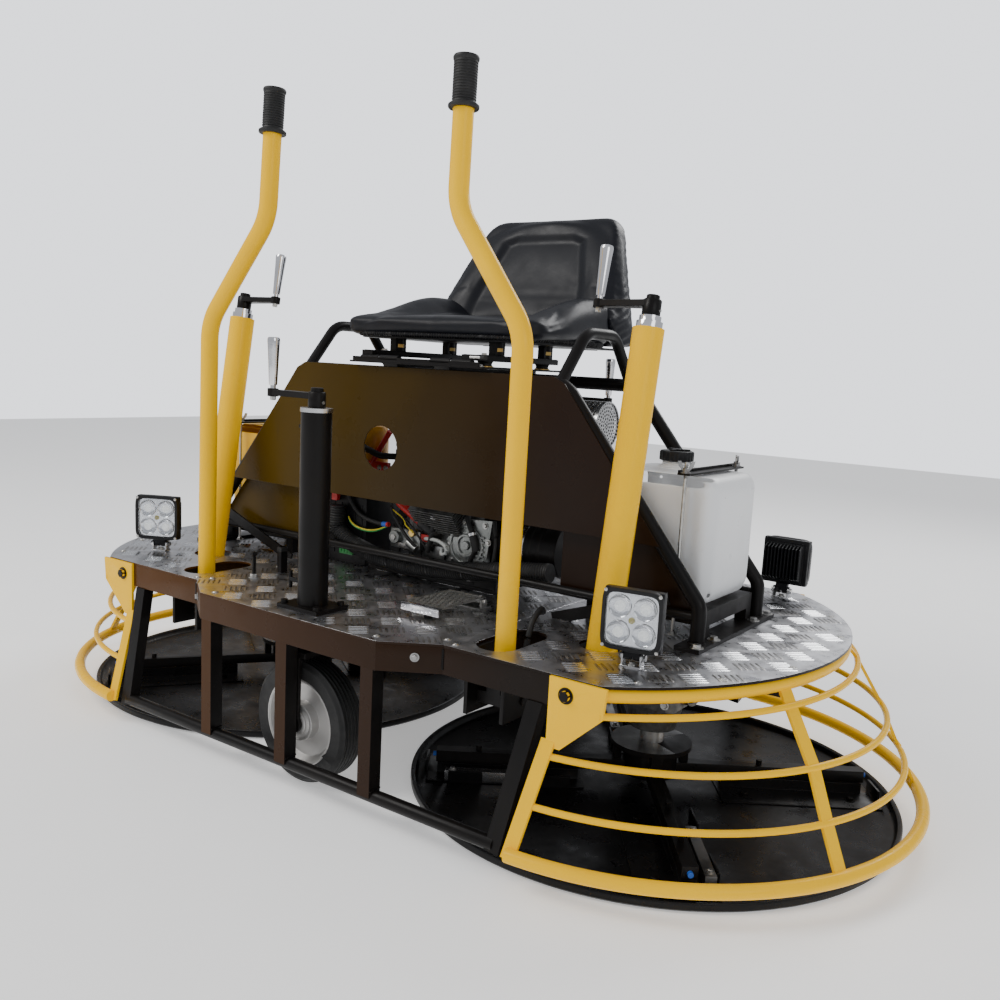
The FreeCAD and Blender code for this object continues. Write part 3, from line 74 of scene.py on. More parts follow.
# ------------------------------------------------------------------ camera, light, floor
def make_camera():
    yaw, pitch, roll = math.radians(35.05), math.radians(9.48), math.radians(3.086)
    back = Vector((math.sin(yaw) * math.cos(pitch), -math.cos(yaw) * math.cos(pitch), math.sin(pitch)))
    right = Vector((math.cos(yaw), math.sin(yaw), 0))
    up = back.cross(right)
    r2 = right * math.cos(roll) + up * math.sin(roll)
    u2 = up * math.cos(roll) - right * math.sin(roll)
    data = bpy.data.cameras.new("camera")
    data.lens, data.sensor_width, data.shift_y = 35.07, 36, 0.0277
    data.clip_start, data.clip_end = 0.05, 60
    cam = bpy.data.objects.new("camera", data)
    m = Matrix((r2, u2, back)).transposed().to_4x4()
    m.translation = Vector((1.3778, -1.7875, 0.8532))
    cam.matrix_world = m
    bpy.context.scene.collection.objects.link(cam)
    bpy.context.scene.camera = cam


def area_light(name, place, aim, size, power, tint=(1, 1, 1)):
    data = bpy.data.lights.new(name, "AREA")
    data.shape, data.size, data.energy, data.color = "DISK", size, power, tint
    ob = bpy.data.objects.new(name, data)
    ob.location = place
    ob.rotation_euler = (Vector(aim) - Vector(place)).to_track_quat("-Z", "Y").to_euler()
    bpy.context.scene.collection.objects.link(ob)


def make_studio():
    world = bpy.data.worlds.new("studio")
    bpy.context.scene.world = world
    world.use_nodes = True
    bg = world.node_tree.nodes["Background"]
    bg.inputs[0].default_value = (0.93, 0.95, 1.0, 1)
    nt = world.node_tree
    seen = nt.nodes.new("ShaderNodeLightPath").outputs["Is Camera Ray"]
    level = nt.nodes.new("ShaderNodeMapRange")
    level.inputs["To Min"].default_value = 0.56
    level.inputs["To Max"].default_value = 1.9
    nt.links.new(seen, level.inputs["Value"])
    nt.links.new(level.outputs[0], bg.inputs[1])
    area_light("key", (-2.6, -3.2, 4.2), (0, 0, 0.5), 2.6, 150, (1, 0.98, 0.95))
    area_light("fill", (4.2, -2.0, 2.4), (0.2, 0, 0.4), 2.4, 30)
    area_light("rim", (0.6, 3.6, 3.4), (0, 0, 0.6), 2.4, 80)
    bm = bmesh.new()
    bmesh.ops.create_grid(bm, x_segments=2, y_segments=2, size=9)
    me = bpy.data.meshes.new("floor")
    bm.to_mesh(me)
    bm.free()
    ob = bpy.data.objects.new("floor", me)
    ob.location.z = -0.0005
    bpy.context.scene.collection.objects.link(ob)

    m = Mat("floor", "floor_pale", (0.94, 0.94, 0.935), 0.75, fixed={"Emission Color": (1, 1, 1, 1),
        "Emission Strength": 0.4})
    m.clouds(6, 5, (0.93, 0.93, 0.925), (0.955, 0.955, 0.95))
    me.materials.append(m.m)


# ------------------------------------------------------------------ materials
M = {}


def mat(key):
    return M[key].m


class Mat:
    """A node material with a principled shader and short helpers."""

    def __init__(self, key, name, color, rough=0.5, metal=0.0, fixed=None):
        M[key] = self
        self.m = bpy.data.materials.new(name)
        self.m.use_nodes = True
        self.nt = self.m.node_tree
        self.b = self.nt.nodes["Principled BSDF"]
        self.b.inputs["Base Color"].default_value = (*color, 1)
        self.b.inputs["Roughness"].default_value = rough
        self.b.inputs["Metallic"].default_value = metal
        for key, value in (fixed or {}).items():
            self.b.inputs[key].default_value = value
        self.co = self.nt.nodes.new("ShaderNodeTexCoord").outputs["Object"]
        self.normal = None

    def node(self, kind, links=(), **props):
        n = self.nt.nodes.new(kind)
        for key, value in props.items():
            setattr(n, key, value)
        for key, value in links:
            if isinstance(value, bpy.types.NodeSocket):
                self.nt.links.new(value, n.inputs[key])
            else:
                n.inputs[key].default_value = value
        return n

    def stretch(self, scale):
        return self.node("ShaderNodeMapping", [("Vector", self.co), ("Scale", scale)]).outputs[0]

    def noise(self, scale, detail=3.0, rough=0.55, at=None):
        return self.node("ShaderNodeTexNoise", [("Vector", at or self.co), ("Scale", scale),
            ("Detail", detail), ("Roughness", rough)]).outputs[0]

    def cells(self, scale):
        return self.node("ShaderNodeTexVoronoi",
            [("Vector", self.co), ("Scale", scale)]).outputs["Distance"]

    def wave(self, scale, axis, kind="BANDS", warp=0.0):
        n = self.node("ShaderNodeTexWave", [("Vector", self.co), ("Scale", scale), ("Distortion", warp)],
            wave_type=kind)
        if kind == "BANDS":
            n.bands_direction = axis
        else:
            n.rings_direction = axis
        return n.outputs["Fac"]

    def ramp(self, fac, stops):
        n = self.node("ShaderNodeValToRGB", [("Fac", fac)])
        el = n.color_ramp.elements
        while len(el) < len(stops):
            el.new(0.5)
        for e, (pos, col) in zip(el, stops):
            e.position = pos
            e.color = (*col, 1) if len(col) == 3 else col
        return n.outputs[0]

    def band(self, fac, lo, hi, a=0.0, b=1.0):
        return self.node("ShaderNodeMapRange", [("Value", fac), ("From Min", lo), ("From Max", hi),
            ("To Min", a), ("To Max", b)]).outputs[0]

    def mix(self, fac, a, b):
        n = self.node("ShaderNodeMix", data_type="RGBA")
        for i, v in ((0, fac), (6, a), (7, b)):
            if isinstance(v, bpy.types.NodeSocket):
                self.nt.links.new(v, n.inputs[i])
            else:
                n.inputs[i].default_value = v if i == 0 else (*v, 1)
        return n.outputs[2]

    def calc(self, op, a, b=0.0):
        return self.node("ShaderNodeMath", [(0, a), (1, b)], operation=op).outputs[0]

    def axis(self, name):
        n = self.node("ShaderNodeSeparateXYZ", [("Vector", self.co)])
        return n.outputs[name]

    def clouds(self, scale, detail, dark, light, high=0.7, rough=0.55):
        """Two shades in soft clouds as the base colour."""
        return self.color(self.ramp(self.noise(scale, detail, rough), [(0.3, dark), (high, light)]))

    def gloss(self, scale, detail, low, high):
        """Roughness that wanders between two values."""
        return self.rough(self.band(self.noise(scale, detail), 0.3, 0.75, low, high))

    def grain(self, scale, detail, strength, distance, rough=0.55):
        return self.bump(self.noise(scale, detail, rough), strength, distance)

    def color(self, sock):
        self.nt.links.new(sock, self.b.inputs["Base Color"])
        return self

    def rough(self, sock):
        self.nt.links.new(sock, self.b.inputs["Roughness"])
        return self

    def bump(self, height, strength, distance):
        links = [("Height", height), ("Strength", strength), ("Distance", distance)]
        if self.normal:
            links.append(("Normal", self.normal))
        self.normal = self.node("ShaderNodeBump", links).outputs[0]
        self.nt.links.new(self.normal, self.b.inputs["Normal"])
        return self


def paint_mats():
    # The yellow paint has a faint orange emission that makes it glow: painted light, since the paint is no
    # lamp.
    y = Mat("yellow", "yellow_gloss", (0.94, 0.55, 0.0), 0.28, fixed={"Specular IOR Level": 0.14,
        "Emission Color": (1.0, 0.5, 0.0, 1), "Emission Strength": 0.08})
    tone = y.ramp(y.noise(3.1, 4), [(0.3, (0.92, 0.515, 0.0)), (0.7, (0.98, 0.57, 0.0))])
    worn = y.band(y.noise(46, 9, 0.72), 0.7, 0.74)
    dust = y.band(y.noise(9, 8, 0.7), 0.52, 0.82, 0, 0.18)
    tone = y.mix(dust, tone, (0.5, 0.33, 0.04))
    y.color(y.mix(worn, tone, (0.1, 0.075, 0.05)))
    y.gloss(14, 6, 0.16, 0.42).grain(420, 2, 0.05, 0.0006)
    y.bump(worn, 0.25, -0.0004)

    b = Mat("black", "black_satin", (0.006, 0.0055, 0.005), 0.34, fixed={"Specular IOR Level": 0.17})
    tone = b.ramp(b.noise(5, 6), [(0.35, (0.0045, 0.0042, 0.0042)), (0.75, (0.01, 0.008, 0.007))])
    scuff = b.band(b.noise(60, 8, 0.75), 0.66, 0.72, 0, 0.6)
    b.color(b.mix(scuff, tone, (0.055, 0.047, 0.04)))
    b.gloss(17, 6, 0.26, 0.5).grain(800, 2, 0.1, 0.0004)

    c = Mat("cover", "cover_satin", (0.03, 0.02, 0.012), 0.3, fixed={"Specular IOR Level": 0.14})
    # The colour runs from golden brown at low X to near black at high X, shifted by soft noise: a painted
    # reflection across the cover.
    side = c.band(c.axis("X"), -0.55, 0.45)
    tone = c.ramp(c.calc("ADD", side, c.calc("MULTIPLY", c.calc("SUBTRACT", c.noise(1.6, 3), 0.5), 0.55)),
        [(0.05, (0.08, 0.046, 0.001)), (0.5, (0.034, 0.018, 0.002)), (0.95, (0.017, 0.008, 0.004))])
    smear = c.band(c.noise(24, 8, 0.7, at=c.stretch((1, 1, 0.3))), 0.58, 0.8, 0, 0.35)
    c.color(c.mix(smear, tone, (0.034, 0.022, 0.011)))
    c.gloss(7, 6, 0.22, 0.4).grain(700, 2, 0.08, 0.0004)
    c.grain(3.2, 1, 0.1, 0.004)

    f = Mat("brown", "frame_brown_satin", (0.05, 0.025, 0.01), 0.3, fixed={"Specular IOR Level": 0.12})
    # The colour runs from warm brown at low X to near black at high X: a painted reflection across the
    # frame.
    side = f.band(f.axis("X"), -0.5, 0.5)
    tone = f.ramp(side, [(0.0, (0.078, 0.029, 0.004)), (0.5, (0.036, 0.014, 0.004)),
        (1.0, (0.011, 0.007, 0.005))])
    scuff = f.band(f.noise(50, 8, 0.75), 0.64, 0.72, 0, 0.7)
    f.color(f.mix(scuff, tone, (0.055, 0.034, 0.014)))
    f.gloss(20, 6, 0.24, 0.46).grain(600, 3, 0.12, 0.0004)

    p = Mat("pan", "pan_black", (0.006, 0.006, 0.006), 0.3, fixed={"Specular IOR Level": 0.22})
    arcs = p.wave(9, "Z", kind="RINGS", warp=1.4)
    scratch = p.band(p.noise(90, 10, 0.8, at=p.stretch((1, 0.12, 1))), 0.6, 0.72, 0, 0.35)
    tone = p.ramp(p.noise(7, 7), [(0.35, (0.004, 0.004, 0.0045)), (0.8, (0.013, 0.012, 0.012))])
    p.color(p.mix(scratch, tone, (0.04, 0.038, 0.036)))
    p.gloss(22, 7, 0.2, 0.46).bump(arcs, 0.04, 0.001).grain(500, 3, 0.08, 0.0005)


def plain_mats():
    """Materials of two cloudy shades, most with an uneven gloss and a fine grain."""
    rows = (
        ("oxide", "red_oxide", (0.16, 0.03, 0.018), 0.45, 0,
         (30, 7, (0.1, 0.022, 0.014), (0.22, 0.05, 0.028), 0.8), None, (300, 4, 0.2, 0.0006)),
        # The two tread bar materials are lit and shaded copies of one metal: the bright one is a painted
        # highlight, the dim one painted shade.
        ("bar", "tread_bar", (0.84, 0.85, 0.87), 0.2, 1,
         (60, 6, (0.72, 0.73, 0.75), (0.93, 0.94, 0.95)), (90, 6, 0.12, 0.34), None),
        ("painted_shade_bar", "tread_bar_painted_shade", (0.34, 0.33, 0.32), 0.34, 1,
         (60, 6, (0.24, 0.23, 0.22), (0.44, 0.43, 0.42)), (90, 6, 0.26, 0.46), None),
        ("alloy", "bay_alloy", (0.4, 0.41, 0.4), 0.36, 0.9,
         (30, 7, (0.18, 0.19, 0.18), (0.38, 0.39, 0.38), 0.7, 0.65), (60, 6, 0.26, 0.48),
         (320, 5, 0.2, 0.0006, 0.7)),
        ("zinc", "zinc_steel", (0.5, 0.5, 0.49), 0.34, 1,
         (90, 6, (0.38, 0.38, 0.37), (0.62, 0.61, 0.58), 0.75), (110, 6, 0.24, 0.5),
         (500, 3, 0.08, 0.0003)),
        ("cast", "cast_aluminium", (0.42, 0.42, 0.41), 0.5, 0.85,
         (35, 8, (0.1, 0.1, 0.1), (0.24, 0.24, 0.23), 0.7, 0.65), (60, 6, 0.38, 0.66),
         (420, 6, 0.35, 0.0007, 0.7)),
        ("brass", "brass", (0.7, 0.48, 0.16), 0.28, 1,
         (60, 5, (0.55, 0.36, 0.12), (0.78, 0.56, 0.2)), None, None),
        ("yplastic", "tank_yellow", (0.88, 0.56, 0.0), 0.4, 0,
         (8, 5, (0.82, 0.45, 0.0), (0.9, 0.51, 0.0)), None, (25, 3, 0.1, 0.002)))
    for key, name, colour, rough, metal, clouds, gloss, grain in rows:
        m = Mat(key, name, colour, rough, metal)
        m.clouds(*clouds)
        if gloss:
            m.gloss(*gloss)
        if grain:
            m.grain(*grain)
    wires = {"red": (0.55, 0.012, 0.01), "green": (0.02, 0.3, 0.06), "wire_yellow": (0.75, 0.6, 0.03),
        "blue": (0.02, 0.12, 0.55), "pump": (0.62, 0.3, 0.02), "lens_hose": (0.52, 0.54, 0.52)}
    for key, colour in wires.items():
        dark, light = [0.8 * x for x in colour], [min(1, 1.15 * x) for x in colour]
        Mat(key, key + "_plastic", colour, 0.38).clouds(40, 4, dark, light, 0.75)


def metal_mats():
    t = Mat("tread", "tread_aluminium", (0.36, 0.36, 0.36), 0.36, 1.0)
    grime = t.band(t.noise(30, 8, 0.7), 0.5, 0.75, 0, 0.55)
    tone = t.ramp(t.noise(4, 5), [(0.3, (0.48, 0.48, 0.5)), (0.75, (0.64, 0.64, 0.66))])
    t.color(t.mix(grime, tone, (0.18, 0.165, 0.15)))
    t.gloss(40, 7, 0.22, 0.46).grain(260, 5, 0.12, 0.0005)

    c = Mat("chrome", "chrome", (0.78, 0.78, 0.8), 0.09, 1.0)
    c.clouds(18, 4, (0.7, 0.7, 0.72), (0.86, 0.86, 0.88))
    c.rough(c.band(c.noise(60, 6, at=c.stretch((1, 1, 6))), 0.3, 0.8, 0.05,
        0.2)).grain(300, 3, 0.03, 0.0003)

    s = Mat("steel", "worn_steel", (0.33, 0.33, 0.33), 0.4, 1.0)
    rust = s.band(s.noise(26, 9, 0.72), 0.58, 0.7, 0, 0.7)
    s.color(s.mix(rust, s.ramp(s.noise(12, 6), [(0.3, (0.22, 0.22, 0.22)), (0.75, (0.46, 0.46, 0.45))]),
        (0.1, 0.055, 0.03)))
    s.gloss(33, 8, 0.26, 0.6).grain(220, 6, 0.15, 0.0005)

    l = Mat("turned", "turned_aluminium", (0.74, 0.73, 0.71), 0.45, 0.65)
    rings = l.wave(160, "Y", kind="RINGS")
    l.clouds(9, 5, (0.42, 0.41, 0.4), (0.56, 0.55, 0.53))
    l.gloss(30, 6, 0.38, 0.52).bump(rings, 0.05, 0.0004)

    st = Mat("stainless", "stainless", (0.62, 0.62, 0.62), 0.26, 1.0)
    st.clouds(20, 5, (0.54, 0.54, 0.54), (0.7, 0.7, 0.7))
    st.bump(st.noise(400, 3, at=st.stretch((1, 1, 0.05))), 0.1, 0.0003)


def soft_mats():
    v = Mat("vinyl", "black_vinyl", (0.01, 0.011, 0.015), 0.38, fixed={"Specular IOR Level": 0.24})
    grain = v.cells(620)
    v.clouds(6, 5, (0.0045, 0.0052, 0.0085), (0.008, 0.009, 0.013), 0.75)
    v.gloss(25, 6, 0.34, 0.5).bump(grain, 0.16, 0.0005).grain(40, 4, 0.06, 0.001)

    r = Mat("rubber", "black_rubber", (0.016, 0.016, 0.016), 0.62)
    dust = r.band(r.noise(22, 8, 0.7), 0.5, 0.8, 0, 0.5)
    r.color(r.mix(dust, (0.008, 0.008, 0.008), (0.03, 0.028, 0.025)))
    r.gloss(40, 5, 0.5, 0.75).grain(600, 4, 0.2, 0.0004)

    b = Mat("plastic", "black_plastic", (0.008, 0.008, 0.009), 0.42, fixed={"Specular IOR Level": 0.25})
    b.clouds(30, 5, (0.006, 0.006, 0.007), (0.013, 0.013, 0.014), 0.75)
    b.gloss(50, 5, 0.34, 0.52).bump(b.cells(900), 0.12, 0.0003)

    t = Mat("white", "tank_white", (0.86, 0.88, 0.89), 0.33, fixed={"Subsurface Weight": 0.35,
        "Subsurface Radius": (0.03, 0.03, 0.03), "Subsurface Scale": 0.6})
    low = t.band(t.axis("Z"), 0.43, 0.6)
    tone = t.ramp(t.calc("ADD", low, t.calc("MULTIPLY", t.calc("SUBTRACT", t.noise(8, 3), 0.5), 0.3)),
        [(0.0, (0.8, 0.82, 0.83)), (0.5, (0.9, 0.915, 0.92)), (1.0, (0.95, 0.96, 0.965))])
    t.color(t.mix(t.band(t.noise(30, 8, 0.7), 0.56, 0.8, 0, 0.25), tone, (0.6, 0.57, 0.5)))
    t.gloss(20, 5, 0.26, 0.42).grain(25, 3, 0.1, 0.002)

    e = Mat("led", "led_white", (0.85, 0.86, 0.84), 0.25, fixed={"Emission Color": (1, 1, 0.97, 1),
        "Emission Strength": 0.55})
    e.color(e.ramp(e.cells(240), [(0.2, (0.95, 0.95, 0.92)), (0.8, (0.7, 0.71, 0.7))]))

    g = Mat("lens", "lens_clear", (0.86, 0.88, 0.9), 0.08, fixed={"Transmission Weight": 0.92, "IOR": 1.35})
    grid = g.calc("MAXIMUM", g.wave(40, "X"), g.wave(40, "Z"))
    g.bump(grid, 0.35, 0.0012)
    g.rough(g.band(g.noise(40, 4), 0.3, 0.7, 0.05, 0.14))


# ------------------------------------------------------------------ mesh building
class Build:
    """Collects shapes with their materials into one mesh."""

    def __init__(self):
        self.v, self.f, self.i, self.names = [], [], [], []

    def slot(self, name):
        if name not in self.names:
            self.names.append(name)
        return self.names.index(name)

    def add(self, verts, faces, name, m=None):
        base, k = len(self.v), self.slot(name)
        self.v += [tuple(m @ Vector(p)) if m else tuple(p) for p in verts]
        self.f += [tuple(base + i for i in face) for face in faces]
        self.i += [k] * len(faces)

    def lathe(self, profile, name, m=None, n=32, closed=False):
        """(radius, height) points turned about local Z; a zero radius closes to one point."""
        verts, rows = [], []
        for r, z in profile:
            if r < 1e-7:
                rows.append([len(verts)] * n)
                verts.append((0, 0, z))
            else:
                rows.append([len(verts) + k for k in range(n)])
                verts += [(r * math.cos(2 * PI * k / n), r * math.sin(2 * PI * k / n), z) for k in range(n)]
        faces = []
        pairs = list(zip(rows, rows[1:])) + ([(rows[-1], rows[0])] if closed else [])
        for a, b in pairs:
            for k in range(n):
                q = [a[k], a[(k + 1) % n], b[(k + 1) % n], b[k]]
                q = [x for j, x in enumerate(q) if x not in q[:j]]
                if len(q) > 2:
                    faces.append(q)
        self.add(verts, faces, name, m)

    def skin(self, rings, name, m=None):
        """A wall through rings of equally many points."""
        n = len(rings[0])
        faces = [[a * n + k, a * n + (k + 1) % n, a * n + n + (k + 1) % n, a * n + n + k]
            for a in range(len(rings) - 1) for k in range(n)]
        self.add([p for ring in rings for p in ring], faces, name, m)

    def rod(self, a, b, r, name, n=20):
        a, b = Vector(a), Vector(b)
        h = (b - a).length
        e = min(r, h) * 0.06
        self.lathe([(0, 0), (r - e, 0), (r, e), (r, h - e), (r - e, h), (0, h)], name, along(a, b - a), n)

    def hexbolt(self, p, axis, r, h, name, washer=0, turn=0):
        """A hex head with a chamfered top on an optional washer."""
        m = along(p, axis)
        z0 = 0
        if washer:
            self.lathe([(0, 0), (washer, 0), (washer, 1.4), (0, 1.4)], name, m, 24)
            z0 = 1.4
        pts = []
        for rr, z in ((r, z0), (r, z0 + h * 0.82), (r * 0.86, z0 + h)):
            pts += [(rr * math.cos(turn + PI * k / 3), rr * math.sin(turn + PI * k / 3), z)
                for k in range(6)]
        faces = [[a + k, a + (k + 1) % 6, a + 6 + (k + 1) % 6, a + 6 + k] for a in (0, 6) for k in range(6)]
        self.add(pts, faces + [range(12, 18), range(5, -1, -1)], name, m)

    def block(self, lo, hi, name, m=None, bevel=2):
        """A box with chamfered edges."""
        lo, hi = Vector(lo), Vector(hi)
        e = min(bevel, min(hi - lo) * 0.3)
        bm = bmesh.new()
        bmesh.ops.create_cube(bm, size=1)
        for v in bm.verts:
            v.co = Vector([lo[i] + (hi[i] - lo[i]) * (v.co[i] + 0.5) for i in range(3)])
        bmesh.ops.bevel(bm, geom=bm.edges[:], offset=e, segments=2, profile=0.7, affect="EDGES")
        self.add([v.co.copy() for v in bm.verts], [[v.index for v in f.verts] for f in bm.faces], name, m)
        bm.free()

    def tube(self, pts, r, name, n=14, wave=0, pitch=8, caps=True):
        """A tube along a smooth line through points, corrugated if wave is set."""
        line = smooth_line(pts, pitch / 4 if wave else 6)
        rings, verts, faces = [], [], []
        run = 0
        up = Vector((0, 0, 1))
        for k, p in enumerate(line):
            t = (line[min(k + 1, len(line) - 1)] - line[max(k - 1, 0)]).normalized()
            if k:
                run += (p - line[k - 1]).length
            side = t.cross(up)
            if side.length < 0.2:
                side = t.cross(Vector((0, 1, 0)))
            side.normalize()
            top = side.cross(t)
            rr = r + (wave * math.sin(2 * PI * run / pitch) if wave else 0)
            rings.append(len(verts))
            verts += [tuple(p + side * rr * math.cos(2 * PI * j / n) + top * rr * math.sin(2 * PI * j / n))
                for j in range(n)]
        for a, b in zip(rings, rings[1:]):
            faces += [[a + j, b + j, b + (j + 1) % n, a + (j + 1) % n] for j in range(n)]
        if caps:
            faces += [[rings[0] + j for j in range(n)], [rings[-1] + j for j in range(n - 1, -1, -1)]]
        self.add(verts, faces, name)

    def done(self, name, body, replaces=(), angle=38):
        """Turns the collected shapes into one object that rides on a body."""
        me = bpy.data.meshes.new(name)
        me.from_pydata([Vector(p) / 1000 for p in self.v], [], self.f)
        for key in self.names:
            me.materials.append(mat(key))
        me.polygons.foreach_set("material_index", self.i)
        me.update()
        fix_normals(me)
        me.shade_smooth()
        me.set_sharp_from_angle(angle=math.radians(angle))
        ob = bpy.data.objects.new(name, me)
        bpy.context.scene.collection.objects.link(ob)
        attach(ob, body)
        if replaces:
            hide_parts(*replaces)


def soft_square(n):
    """Unit points round a square with rounded corners."""
    turns = [(math.cos(2 * PI * k / n), math.sin(2 * PI * k / n)) for k in range(n)]
    return [[math.copysign(abs(u) ** 0.3, u) for u in turn] for turn in turns]


def fix_normals(me):
    bm = bmesh.new()
    bm.from_mesh(me)
    bmesh.ops.recalc_face_normals(bm, faces=bm.faces[:])
    bm.to_mesh(me)
    bm.free()


def add_bevel(ob, width):
    """Softens the edges sharper than 32 degrees."""
    mod = ob.modifiers.new("edge", "BEVEL")
    mod.width, mod.segments, mod.limit_method = width, 2, "ANGLE"
    mod.angle_limit = math.radians(32)
    mod.harden_normals = False
    mod.use_clamp_overlap = True


def smooth_line(pts, step):
    """Evenly spaced points on a smooth line through the given points."""
    pts = [Vector(p) for p in pts]
    if len(pts) == 2:
        n = max(2, int((pts[1] - pts[0]).length / step))
        return [pts[0].lerp(pts[1], k / n) for k in range(n + 1)]
    ext = [pts[0] * 2 - pts[1]] + pts + [pts[-1] * 2 - pts[-2]]
    out = []
    for i in range(1, len(ext) - 2):
        p0, p1, p2, p3 = ext[i - 1:i + 3]
        n = max(2, int((p2 - p1).length / step))
        for k in range(n):
            t = k / n
            bend = 2 * p0 - 5 * p1 + 4 * p2 - p3
            twist = 3 * p1 - p0 - 3 * p2 + p3
            out.append(0.5 * (2 * p1 + (p2 - p0) * t + bend * t * t + twist * t * t * t))
    out.append(pts[-1])
    return out


def dress(node, rule, bevel=0.0012):
    """A cleaned copy of a CAD node with a material per face and softened edges."""
    src = NODES[node]
    me = src.data.copy()
    me.name = node + "_looks"
    me.materials.clear()
    bm = bmesh.new()
    bm.from_mesh(me)
    bmesh.ops.remove_doubles(bm, verts=bm.verts[:], dist=2e-5)
    bmesh.ops.dissolve_limit(bm, angle_limit=math.radians(0.6), verts=bm.verts[:], edges=bm.edges[:],
        use_dissolve_boundaries=False)
    names = []
    for f in bm.faces:
        key = rule(f.calc_center_median(), f.normal) if callable(rule) else rule
        if key not in names:
            names.append(key)
        f.material_index = names.index(key)
    bm.to_mesh(me)
    bm.free()
    for key in names:
        me.materials.append(mat(key))
    me.shade_smooth()
    me.set_sharp_from_angle(angle=math.radians(30))
    ob = bpy.data.objects.new(node + "_looks", me)
    bpy.context.scene.collection.objects.link(ob)
    add_bevel(ob, bevel)
    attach(ob, BODY[node])
    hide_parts(node)


# ------------------------------------------------------------------ deck
def in_slot(x, y, cx, cy, hw, hl):
    dy = max(0, abs(y - cy) - (hl - hw))
    return math.hypot(x - cx, dy) < hw


def deck_room(x, y):
    """True where a tread bar group fits on the deck."""
    ax, ay = abs(x), abs(y)
    edge = 20
    if ax < 345:
        if ax > 325 or ay > 538 - edge or (ax < 198 and ay < 113):
            return False
        if ax > 235 and ay > 538 - (ax - 245) * 0.68 - edge - 8:
            return False
        return not (ax < 76 and 396 < ay < 519)
    if ax < 365 or ay > 470 - edge or math.hypot(ax - 318, y) > 585 - edge:
        return False
    if y < 0 and (in_slot(ax, y, 415, -356, 60, 104) or math.hypot(ax - 552, y + 262) < 60):
        return False
    return not (641 < ax < 725 and ay < 207)


def bar_group(b, x, y, z, turn, key):
    """Five raised lens-shaped bars side by side, all along one diagonal."""
    c, s = math.cos(turn), math.sin(turn)
    ring = [(-22.2, 0), (-15, 3), (15, 3), (22.2, 0), (15, -3), (-15, -3)]
    for k in range(5):
        off = (k - 2) * 10.6
        verts = [(x + u * c - (w + off) * s, y + u * s + (w + off) * c, z - 0.1) for u, w in ring]
        for u in (-16, 16):
            verts.append((x + u * c - off * s, y + u * s + off * c, z + 1.4))
        b.add(verts, [[0, 1, 6], [1, 2, 7, 6], [2, 3, 7], [3, 4, 7], [4, 5, 6, 7], [5, 0, 6]], key)


def tread_bars():
    """Groups of bars on a diagonal grid; every other group turns the other way and takes the darker bar
    metal as painted shade, the rest the bright bar metal as painted highlight.
    """
    top = box_mm("center_deck_plate")[1].z
    b = Build()
    cell = 88.4
    for zone, x0, y0 in ((0, -3.4, -331), (1, 493, -412), (-1, -493, -412)):
        for i in range(-9, 10):
            for j in range(-3, 13):
                # Each group takes the bright bar copy (painted highlight) or the dim copy (painted shade)
                # by the way it turns.
                for half, turn, key in ((0, PI / 4, "bar"), (0.5, -PI / 4, "painted_shade_bar")):
                    x, y = x0 + (i + half) * cell, y0 + (j + half) * cell
                    part = 0 if abs(x) < 345 else (1 if x > 0 else -1)
                    if part == zone and deck_room(x, y):
                        bar_group(b, x, y, top, turn, key)
    b.done("deck_tread_bars", "chassis", angle=60)


def deck_screws():
    """Countersunk zinc screws, foot bolts with washers, and the two stop posts."""
    b = Build()
    z = box_mm("center_deck_plate")[1].z
    spots = [(s * 330, t * 440) for s, t in CORNERS]
    spots += [(s * 360, t * y) for s, t in CORNERS for y in (200, 455)]
    spots += [(s * 225, t * 515) for s, t in CORNERS]
    spots += [(s * 330, t * 250) for s, t in CORNERS]
    spots += [(s * (318 + 562 * math.cos(a)), t * 562 * math.sin(a)) for s, t in CORNERS
        for a in (0.25, 0.55, 0.82)]
    for x, y in spots:
        m = shift(x, y, z) @ Matrix.Rotation(rnd.random() * PI, 4, "Z")
        b.lathe([(0, 0.8), (1.6, 0.8), (2.2, 2.4), (4.6, 2.2), (6, 0.6), (6, 0)], "zinc", m, 20)
        b.lathe([(6.2, 0), (7.8, 0), (7.8, 0.7), (6.2, 0.9)], "zinc", m, 20)
    for side in (-1, 1):
        for y in (-176, -100, 100, 176):
            b.hexbolt((side * 697, y, z + 8), (0, 0, 1), 8, 5.6, "zinc", 12.5, y / 1000)
    b.rod((-283, -364, z), (-283, -364, z + 58), 4.2, "black", 16)
    for k in range(18):
        h = z + 10 + k * 2.6
        b.lathe([(4.2, h), (5, h + 1.3), (4.2, h + 2.6)], "black", shift(-283, -364, 0), 16)
    b.hexbolt((-283, -364, z), (0, 0, 1), 8.8, 7, "zinc", 12)
    b.hexbolt((-283, -364, z + 50), (0, 0, 1), 7.8, 6.5, "black")
    b.block((-289, -292, z), (-275, -272, z + 60), "black", bevel=3)
    b.block((-289.5, -292.5, z + 48), (-274.5, -271.5, z + 60), "rubber", bevel=4)
    lo, hi = box_mm("foot_pedal")
    x0, x1 = lo.x + 10, hi.x - 10
    b.block((x0, -228, z), (x1, -188, z + 3), "zinc", bevel=0.8)
    for x in (x0 + 2, x1 - 8):
        b.block((x, -216, z), (x + 6, -200, z + 19), "zinc", bevel=1)
        b.hexbolt((x + (6 if x > 200 else 0), -208, z + 14), (1 if x > 200 else -1, 0, 0), 5.8, 3.5, "zinc")
    b.lathe([(0, 0), (8, 0), (8.5, 2), (7, 9), (5, 10), (0, 10)], "rubber",
        shift((lo.x + hi.x) / 2, -345, z), 20)
    b.done("deck_fastener_set", "chassis", ["deck_fasteners"])


